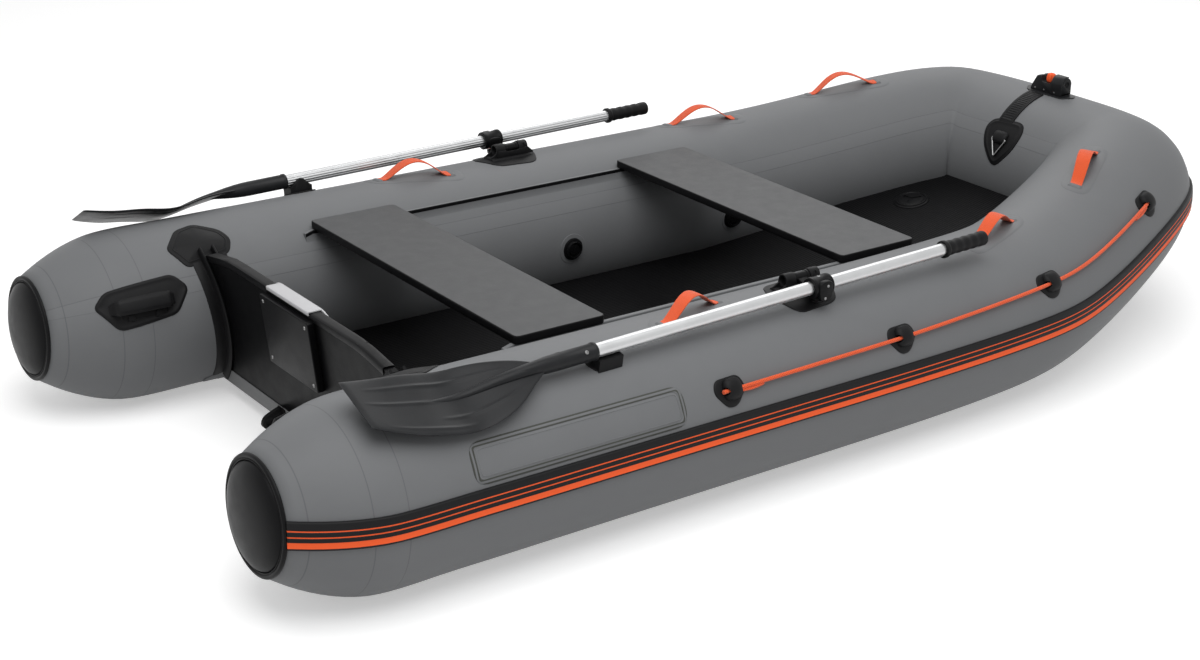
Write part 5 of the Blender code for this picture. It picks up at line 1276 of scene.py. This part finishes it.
def oar_blade():
    """A spoon-shaped blade with ribs and a spine, on a tapered sleeve."""
    start, back = oar_axis(SLEEVE_X), -OAR_RUN
    tilt = math.radians(27)
    across = Vector((0.0, math.cos(tilt), -math.sin(tilt)))
    across = (across - back * across.dot(back)).normalized()
    ways = np.array([back, across, across.cross(back)])

    def points(s, t, height):
        """Points some way along the blade, across it and off its face."""
        return np.array(start) + np.stack(np.broadcast_arrays(s, t, height), axis=-1) @ ways

    rows, w = 56, np.linspace(0, 1, 61)
    inner, outer = (np.linspace(line[0][0], line[-1][0], rows) for line in
                    (BLADE_INNER, BLADE_OUTER))
    edges = zip(inner, smooth_through(BLADE_INNER, inner), outer,
                smooth_through(BLADE_OUTER, outer))
    rim = (1 - abs(2 * w - 1) ** 10) ** 0.5
    rings = []
    for share, (s0, t0, s1, t1) in zip(np.linspace(0, 1, rows), edges):
        s, t = s0 * (1 - w) + s1 * w, t0 * (1 - w) + t1 * w
        half = (0.0008 + 0.0018 * rim) * min(1.0, (1 - share) / 0.02 + 0.35)
        ribs = sum(size * np.exp(-((w - centre) / 0.022) ** 2)
                   * math.sin(math.pi * share_between(share, first, last))
                   for centre, size, first, last in BLADE_RIBS)
        hollow = 0.0027 * np.sin(math.pi * w) * math.sin(math.pi * min(1.0, share * 1.05))
        spoon = smooth_through(BLADE_SPOON, s) - hollow
        rings.append([*points(s, t, spoon + half + ribs),
                      *points(s, t, spoon - half + ribs * 0.6)[::-1]])
    spine = []
    turns = np.linspace(0, math.pi, 17)
    for s in np.linspace(0.085, 0.455, 34):
        left = (0.455 - s) / 0.370
        half, rise = 0.0012 + 0.0172 * left ** 0.9, 0.0002 + 0.0178 * left ** 1.15
        level = smooth_through(BLADE_SPOON, max(s, 0.136)) - 0.0027 * (1 - left)
        spine.append([*points(s, half * np.cos(turns), level + rise * np.sin(turns) ** 0.85),
                      *points(s, [-half * 0.9, half * 0.9], level - 0.0006)])
    sleeve = lathe(mm((0, 4), (15, 4), (15, 0), (18.5, 0), (19.5, 1), (19.5, 6.8), (18.6, 8.2),
                      (18, 9.2), (18, 100), (17.6, 118), (16, 140), (13.2, 165), (10, 188),
                      (7.2, 205), (4, 216), (0, 220)))
    add_pair("oar_blade_paddle", fuse(loft(rings), loft(spine), aim(sleeve, start, back)),
             OAR_PLASTIC, "black_plastic", "oar_blade", body="oar", crease=50)
    out = (PIN_UP - OAR_RUN * PIN_UP.dot(OAR_RUN)).normalized()
    way = (out * 0.8 + out.cross(OAR_RUN) * 0.6).normalized()
    oar_screws("oar_blade_screw", [(start + back * 0.030 + way * 0.0178, way)])


# Oarlocks

def on_barrel(mesh):
    """Lay a turned mesh on the swivel's barrel, its heights being places along the boat."""
    return aim(mesh, BARREL, (1, 0, 0))


def on_pin(profile, sides):
    return aim(lathe(mm(*profile), sides), LOCK_CENTRE, PIN_UP, (1, 0, 0))


def oarlock_base():
    """Two cheeks with bores and sloping webs on a saddle, and a low wall on the inboard side."""
    corners = on_tube([(-0.240, 97.0), (-0.205, 79.0), (-0.090, 76.0), (-0.055, 96.0),
                       (-0.090, 115.0), (-0.205, 117.5)])
    saddle = mirrored(mm((-29, -35.5), (-23, -20.5), (-17, -17.5)))
    parts = [patch(corners, mm((0, 1), (1.2, 2.2), (16, 3.4)), 0.024, 0.006),
             bevelled(prism(saddle, -0.206, -0.084, 0, BARREL), 0.003, 3)]
    outline = arc(0.0146, range(0, 181, 12)) + mm((-18.5, -18.5), (18.5, -18.5))
    for low, high, radius, bore, near, far, top in (
            (-0.1885, -0.1602, 0.0108, (-0.1925, -0.1755), -0.1825, -0.2055, -0.003),
            (-0.1178, -0.0905, 0.0104, (-0.1005, -0.0865), -0.1045, -0.0725, 0.0125)):
        cheek = cut(prism(outline, low, high, 0, BARREL), on_barrel(rod(radius, *bore, 28)))
        parts.append(bevelled(cheek, 0.0012))
        wedge = [(near, -0.0195), (far, -0.0195), (far, -0.0160), (near, top)]
        parts += [bevelled(prism(wedge, y - 0.002, y + 0.002, 1, BARREL), 0.0008)
                  for y in (-0.0125, 0.0125)]
    wall = mm((-187.2, -21.5), (-91.6, -21.5), (-94, -1), (-119, -1), (-123, -4), (-156, -4),
              (-160, -1), (-185, -1))
    parts.append(bevelled(prism(wall, -0.0183, -0.0141, 1, BARREL), 0.001))
    add_pair("oarlock_base_block", fuse(*parts), RUBBER, "black_rubber", "oarlock_base")


def oarlock_swivel():
    """A barrel between the cheeks, an arm, and an eye under the oar's collar."""
    barrel = on_barrel(lathe(mm((0, -159.7), (11.5, -159.7), (12.5, -158.7), (12.5, -153.7),
                                (11.2, -152.7), (11.2, -125.3), (12.5, -124.3), (12.5, -119.3),
                                (11.5, -118.3), (0, -118.3)), 40))
    eye = on_pin([(0, -35.8), (12.5, -35.8), (14.2, -34.3), (14.2, -25.8), (12.8, -24.3),
                  (0, -24.3)], 40)
    seat = LOCK_CENTRE - PIN_UP * 0.03005
    begin = Vector((-0.139, BARREL_Y, BARREL_Z - 0.002))
    end = Vector((-0.139, seat.y, seat.z))
    run = (end - begin).normalized()
    up = Vector((0, -run.z, run.y))
    rings = []
    for share in np.linspace(0, 1, 7):
        half, rise = 0.0155 - 0.0025 * math.sin(math.pi * share), 0.0070 - 0.0018 * share
        place = begin + (end - begin) * share
        rings.append([place + Vector((a, 0, 0)) + up * b
                      for a, b in soften(box(-half, -rise, half, rise), 0.0025)])
    add_pair("oarlock_swivel_arm", fuse(barrel, eye, loft(rings)), PLASTIC, "black_plastic",
             "oarlock_swivel", body="oarlock")
    pins = {"aft": mm((0, -168.8), (4.8, -168.8), (5, -168), (5, -159.7), (0, -159.7)),
            "fore": mm((0, -118.3), (5, -118.3), (5, -110.2), (4.8, -109.4), (0, -109.4))}
    for word, profile in pins.items():
        add_pair(f"oarlock_{word}_pin", on_barrel(lathe(profile, 24)), STEEL, "steel",
                 body="oarlock")


def oar_collar():
    """A sleeve with a lobe on each side, a boss below, and the orange bush and steel pin in it."""
    outboard = (Vector((0, 1, 0)) - OAR_RUN * OAR_RUN.y).normalized()
    upward = OAR_RUN.cross(outboard)
    section = mm((15.3, -27), (21.8, -27), (23.3, -25.5), (23.5, -18), (22.2, -16), (22.2, 16),
                 (23.5, 18), (23.3, 25.5), (21.8, 27), (15.3, 27))
    turns = 2 * math.pi * np.arange(48) / 48
    rings = [[(r * math.cos(t), r * math.sin(t), z) for r, z in section] for t in turns]
    hoop = settled(loft(rings + rings[:1], capped=False), 1e-6)
    parts = [aim(hoop, LOCK_CENTRE, OAR_RUN, (0, 1, 0))]
    lobe = soften(mm((-16.5, 17.5), (16.5, 17.5), (21, -2), (14.5, -31), (-14.5, -31), (-21, -2)),
                  0.016, 7)
    for way, high, drop in ((outboard, 0.0262, 1.0), (-outboard, 0.0252, 0.62)):
        levels = ((0.0150, 1.0), (high - 0.0022, 1.0), (high - 0.0006, 0.95), (high, 0.87))
        parts.append(loft([[LOCK_CENTRE + (OAR_RUN * a + upward * b * drop) * size + way * level
                            for a, b in lobe] for level, size in levels]))
    parts.append(on_pin([(0, -24), (8.5, -24), (10, -22.8), (10.4, -15), (0, -15)], 32))
    add_pair("oar_collar_clamp", fuse(*parts), PLASTIC, "black_plastic", "oar_collar", body="oar")
    bush = on_pin([(0, -23.9), (10.6, -23.9), (11.2, -23.2), (11.2, -21.2), (10.6, -20.6),
                   (0, -20.6)], 32)
    add_pair("oar_collar_bush", bush, ORANGE_PLASTIC, "orange_plastic", body="oar")
    pin = on_pin([(0, -39.2), (7.8, -39.2), (9, -38.4), (9, -36.6), (7.8, -36.1), (5, -36.1),
                  (5, -23), (0, -23)], 28)
    add_pair("oar_collar_pin", pin, STEEL, "steel", body="oar")
    oar_screws("oar_collar_screws", [
        (LOCK_CENTRE + OAR_RUN * 0.004 + upward * 0.006 + outboard * 0.0260, outboard),
        (LOCK_CENTRE - OAR_RUN * 0.003 - upward * 0.0215 + outboard * 0.0258, outboard),
        (LOCK_CENTRE - OAR_RUN * 0.002 + upward * 0.0224, upward)], 0.75)


def oar_clips():
    """Moulded cradles under the sleeves' ends, their inboard walls rounded like a hump."""
    centre = oar_axis(CLIP_X)
    lean = math.degrees(math.atan2(centre.z - TUBE_RADIUS, TUBE_SPREAD - centre.y))
    reach, half, foot = SHAFT_RADIUS + 0.0006, 0.030, -0.014

    def on_skin(across):
        aside = centre.y + across - TUBE_SPREAD
        height = math.sqrt((TUBE_RADIUS + 0.001) ** 2 - aside ** 2)
        return across, TUBE_RADIUS + height - centre.z

    cradle = arc(reach, range(180, 255, 9))
    line = [(-reach, 0.0058), *cradle, (0.0150, cradle[-1][1] - 0.0034), (0.0158, -0.0205),
            on_skin(0.012), on_skin(-reach - 0.009), (-reach - 0.0074, 0.0030),
            (-reach - 0.0056, 0.0068), (-reach - 0.0024, 0.0076)]
    corners = [(CLIP_X + a, girth(lean) + b) for a, b in mm(
        (-46, 0), (-30, -28), (30, -28), (46, 0), (30, 28), (-30, 28))]
    base = patch(corners, mm((0, 1.2), (1, 2.4), (6, 3.2)), 0.012, 0.004)
    rings = []
    for share in np.linspace(-1, 1, 19):
        hump = (0.5 + 0.5 * math.cos(math.pi * share)) ** 0.75
        place = centre + OAR_RUN * half * share
        rings.append([place + Vector((0, y, foot + (z - foot) * hump if z > foot else z))
                      for y, z in line])
    add_pair("oar_clip_cradle", fuse(base, loft(rings)), RUBBER, "black_rubber", "oar_clip",
             crease=40)


# Bow

def bow_place(y, angle, lift):
    return Vector(skin(BOW - y, angle, lift)[0])


def bow_ring():
    """A rounded triangle of wire that hangs from its bar under the patch's hood."""
    low = RING_ANGLE - turn_of(0.050)
    corners = [bow_place(RING_Y + RING_HALF, RING_ANGLE, RING_LIFT),
               bow_place(RING_Y - RING_HALF, RING_ANGLE, RING_LIFT),
               bow_place(RING_Y, low, 0.0074)]
    bends = soften(corners, 0.006, 6).reshape(3, 7, 3)
    path = []
    for turn, following in zip(bends, np.roll(bends, -1, axis=0)):
        path += [*turn, *(turn[-1] + (following[0] - turn[-1]) * t for t in (0.25, 0.5, 0.75))]
    add("bow_ring_wire", pipe(path, RING_WIRE, closed=True), STEEL, "steel", "bow_ring",
        body="bow_ring")


def bow_ring_patch():
    """A heart-shaped patch with a hood over the ring's bar, and a ribbed strap above it."""
    outline = ((-0.014, 6.0), (0.012, 6.0), (0.060, 20.0), (0.078, 34.0), (0.056, 43.0),
               (-0.054, 45.0), (-0.076, 36.0), (-0.064, 21.0))
    heart = patch(on_tube([(BOW - RING_Y - y, angle) for y, angle in outline]),
                  mm((0, 1), (1.2, 2.4), (9, 2.6), (10, 3.4), (12, 3.4), (13, 2.6)), 0.026, 0.005)
    hood = bridge(BOW - RING_Y - 0.028 * np.linspace(-1, 1, 25), RING_ANGLE, (0.012, 0.007),
                  (0.0035, 0.0095), (0.004, 0.0), (0.006, 0.0), 0.0020, 2.6, 13)
    ends = [bow_place(RING_Y + way * RING_HALF, RING_ANGLE, RING_LIFT) for way in (1, -1)]
    hood = cut(hood, aim(rod(0.0033, -0.06, 0.06, 20), (ends[0] + ends[1]) / 2, (0, 1, 0)))
    middle, half, low, high = BOW - 0.022, 0.028, 41.0, 80.5
    strap_line = box(middle + half, girth(low), middle - half, girth(high))
    band = patch(strap_line, mm((0, 2.6), (0.8, 3.6), (6, 3.6), (6.8, 4.4), (9.2, 4.4), (10, 3.6)),
                 0.004, 0.004)
    add("bow_ring_patch_hood", fuse(heart, hood, band), RUBBER, "black_rubber", "bow_ring_patch",
        crease=45)
    rib = bevelled(prism(box(-0.0165, -0.0012, 0.0165, 0.0012), -0.0008, 0.0010), 0.0006)
    angles = np.linspace(low + 2.5, high - 2.5, 17)
    places = [(point, normal, (0, 1, 0))
              for point, normal in zip(*skin_and_normal(middle, angles, 0.0036))]
    repeated("bow_strap_ribs", rib, places, RUBBER, "black_rubber")


def lock_block(outline):
    """A block of the anchor lock with rounded ends, from its outline seen along the boat."""
    depth, middle = 0.019, np.mean(outline, axis=0)
    ends = mirrored([(-depth, 0.0022), (-depth + 0.0008, 0.0008), (-depth + 0.0024, 0.0)])
    return loft([np.insert(middle + (np.array(outline) - middle) * (1 - inset / 0.030), 0, along,
                           axis=1) + BOW_LOCK for along, inset in ends])


def on_axle(y=0.0):
    """A point of the roller's axle."""
    return BOW_LOCK[0], y, BOW_LOCK[2] + ROLLER_HEIGHT


def bow_lock_housing():
    reach, flat = 0.088, 0.066
    corners = on_tube([(BOW - reach, 90.0), (BOW - flat, 81.5), (BOW + flat, 81.5),
                       (BOW + reach, 90.0), (BOW + flat, 98.5), (BOW - flat, 98.5)])
    housing = lock_block(soften(mm((58, 0), (53, 14), (36, 44), (24, 46), (20, 27.8), (-10, 27.8),
                                   (-14, 33), (-19.5, 33), (-19.5, 0)), 0.004))
    well = prism(soften(box(-0.0070, 0.0270, 0.0070, 0.047), 0.003), 0.020, 0.060, 2, BOW_LOCK)
    plinth = soften(mm((-16, 1), (-16, 8), (-54, 8), (-54, 1)), 0.002, 2)
    parts = [patch(corners, mm((0, 1), (1, 2.4), (5, 3)), 0.012, 0.005), cut(housing, well),
             lock_block(plinth)]
    axle = (0, ROLLER_HEIGHT)
    edge = arc(0.0190, range(-10, 191, 10), axle) + mm((-19.2, 2), (19.2, 2))
    for start, end in ((-0.0195, -0.0250), (-0.0490, -0.0540)):
        bore = aim(rod(0.0053, -0.02, 0.02), on_axle((start + end) / 2), (0, 1, 0))
        hollow = aim(rod(0.0085, -0.0028, 0.02, 32), on_axle(-0.0540), (0, -1, 0))
        cheek = cut(prism(edge, start, end, 1, BOW_LOCK), bore, hollow)
        parts.append(bevelled(cheek, 0.0010))
    wall = soften(mm((58, 0), (53, 14), (36, 44), (24, 46), (18, 28.5), (-12.5, 28.5), (-16, 36),
                     (-20, 36), (-20, 0)), 0.004)
    parts.append(bevelled(prism(wall, -0.0187, -0.0222, 0, BOW_LOCK), 0.0009))
    hood = [(-0.0228, 0.001), *arc(0.0228, range(180, 60, -10), axle),
            *arc(0.0192, range(70, 190, 10), axle), (-0.0192, 0.001)]
    parts.append(bevelled(prism(hood, -0.0165, -0.0540, 1, BOW_LOCK), 0.0010))
    add("bow_lock_body", fuse(*parts), OAR_PLASTIC, "black_plastic", "bow_lock_housing")
    screws_at("bow_lock_screws", [(Vector(BOW_LOCK) + Vector((-0.0222, y, 0.007)), (-1, 0, 0))
                                  for y in (0.040, 0.008, -0.030)], 0.6)


def bow_roller():
    profile = mm((0, -51.7), (4.6, -51.7), (5, -51.3), (5, -48.7), (16.8, -48.7), (18, -47.7),
                 (17.8, -46.1), (15.6, -42.9), (14.3, -40.2), (14, -37), (14.3, -33.8),
                 (15.6, -31.1), (17.8, -27.9), (18, -26.3), (16.8, -25.3), (5, -25.3),
                 (5, -22.9), (4.6, -22.3), (0, -22.3))
    mesh = aim(lathe(profile, 56), on_axle(), (0, 1, 0))
    add("bow_roller_wheel", mesh, PLASTIC, "black_plastic", "bow_roller", body="bow_roller")


def bow_knob():
    """A fluted knob with a round top, on a stem."""
    base, waist, flutes, points = 0.0283, 0.0095, 7, 84
    outline = []
    for k in range(points):
        swell = (0.5 + 0.5 * math.cos(flutes * 2 * math.pi * k / points)) ** 0.7
        outline += arc(0.0115 + 0.0025 * swell, [360 * k / points])
    lower = [(0.72 + 0.28 * math.sin(t), base + waist * (1 - math.cos(t)))
             for t in math.pi / 12 * np.arange(7)]
    upper = [(0.36 + 0.64 * math.cos(t) ** 0.7, base + waist + 0.0145 * math.sin(t))
             for t in math.pi / 18 * np.arange(1, 10)]
    steps = [*lower, *upper, (0.28, base + 0.0224), (0.10, base + 0.0220)]
    knob = loft([[(a * size, b * size, z) for a, b in outline] for size, z in steps])
    stem = lathe(mm((0, 20.3), (3.7, 20.3), (4, 21), (4, 32.3), (0, 32.3)), 24)
    mesh = aim(fuse(knob, stem), Vector(BOW_LOCK) + Vector((0, 0.004, 0)), (0, 0, 1), (1, 0, 0))
    add("bow_knob_grip", mesh, ORANGE_PLASTIC, "orange_plastic", "bow_lock_knob",
        body="bow_lock_knob", crease=45)


# Room, light and camera

FLOOR_HEIGHT, FLOOR_REACH, FLOOR_GLOW = -0.0011, 14.0, 0.42
SKY_LIGHT, SKY_SHOWN = 0.48, 1.0
LAMPS = (((-1.2, -1.6, 4.2), 4.4, 146.0), ((2.6, 2.4, 3.6), 3.4, 48.0))
CAMERA_PLACE, CAMERA_LENS = (-3.0041, -3.7107, 1.9947), 60.85
CAMERA_TURN = ((0.80848, -0.58816, 0.02063), (0.20465, 0.31382, 0.92717),
               (-0.5518, -0.74537, 0.37408))


def room():
    """A white floor and sky that look bright to the camera and light the boat less."""
    points = [(x, y, FLOOR_HEIGHT) for x, y in box(-FLOOR_REACH, -FLOOR_REACH, FLOOR_REACH,
                                                   FLOOR_REACH)]
    mesh = bpy.data.meshes.new("floor")
    mesh.from_pydata(points, [], [(0, 1, 2, 3)])
    material, graph, inputs = new_finish("studio_floor", Roughness=0.9,
                                         Base_Color=(0.80, 0.80, 0.80, 1),
                                         Emission_Color=(1, 1, 1, 1))
    rays = graph.node("ShaderNodeLightPath").outputs
    seen = graph.maths("MAXIMUM", rays["Is Camera Ray"], rays["Is Glossy Ray"])
    graph.put(inputs["Emission Strength"], graph.times(seen, FLOOR_GLOW))
    mesh.materials.append(material)
    placed("floor", mesh)

    world = bpy.data.worlds.new("studio")
    world.use_nodes = True
    bpy.context.scene.world = world
    graph = Graph(world.node_tree)
    sky = world.node_tree.nodes["Background"].inputs
    rays = graph.node("ShaderNodeLightPath").outputs
    shown = graph.maths("MAXIMUM", rays["Is Camera Ray"], rays["Is Transmission Ray"])
    shown = graph.maths("MAXIMUM", shown, rays["Is Glossy Ray"])
    graph.put(sky["Strength"],
              graph.maths("MULTIPLY_ADD", shown, SKY_SHOWN - SKY_LIGHT, SKY_LIGHT))
    sky["Color"].default_value = (1, 1, 1, 1)

    for place, size, power in LAMPS:
        lamp = bpy.data.lights.new("soft_lamp", "AREA")
        lamp.shape, lamp.size, lamp.energy = "DISK", size, power
        holder = placed("soft_lamp", lamp)
        holder.location = place
        towards = Vector((0, 0, 0.2)) - Vector(place)
        holder.rotation_euler = towards.to_track_quat("-Z", "Y").to_euler()


def camera():
    lens = bpy.data.cameras.new("camera")
    lens.sensor_width, lens.lens, lens.clip_end = 36.0, CAMERA_LENS, 100.0
    eye = placed("camera", lens)
    turn = Matrix(CAMERA_TURN).transposed().to_4x4()
    eye.matrix_world = Matrix.Translation(CAMERA_PLACE) @ turn
    bpy.context.scene.camera = eye


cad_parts["transom_board"].data.materials[0] = BOARD
for build in (camera, room, hull_skin, stern_caps, rub_strake, side_panels, seats, seat_rails,
              air_deck, bottom_sheet, transom_trim, motor_plate, motor_pad, transom_holders,
              bottom_hem, towing_lugs, chamber_valves, deck_valve, lifelines, line_eyes,
              grab_handles, lift_handles, oar_shaft, oar_grip, oar_blade, oarlock_base,
              oarlock_swivel, oar_collar, oar_clips, bow_ring, bow_ring_patch, bow_lock_housing,
              bow_roller, bow_knob):
    build()

bpy.context.scene.view_settings.view_transform = "Standard"
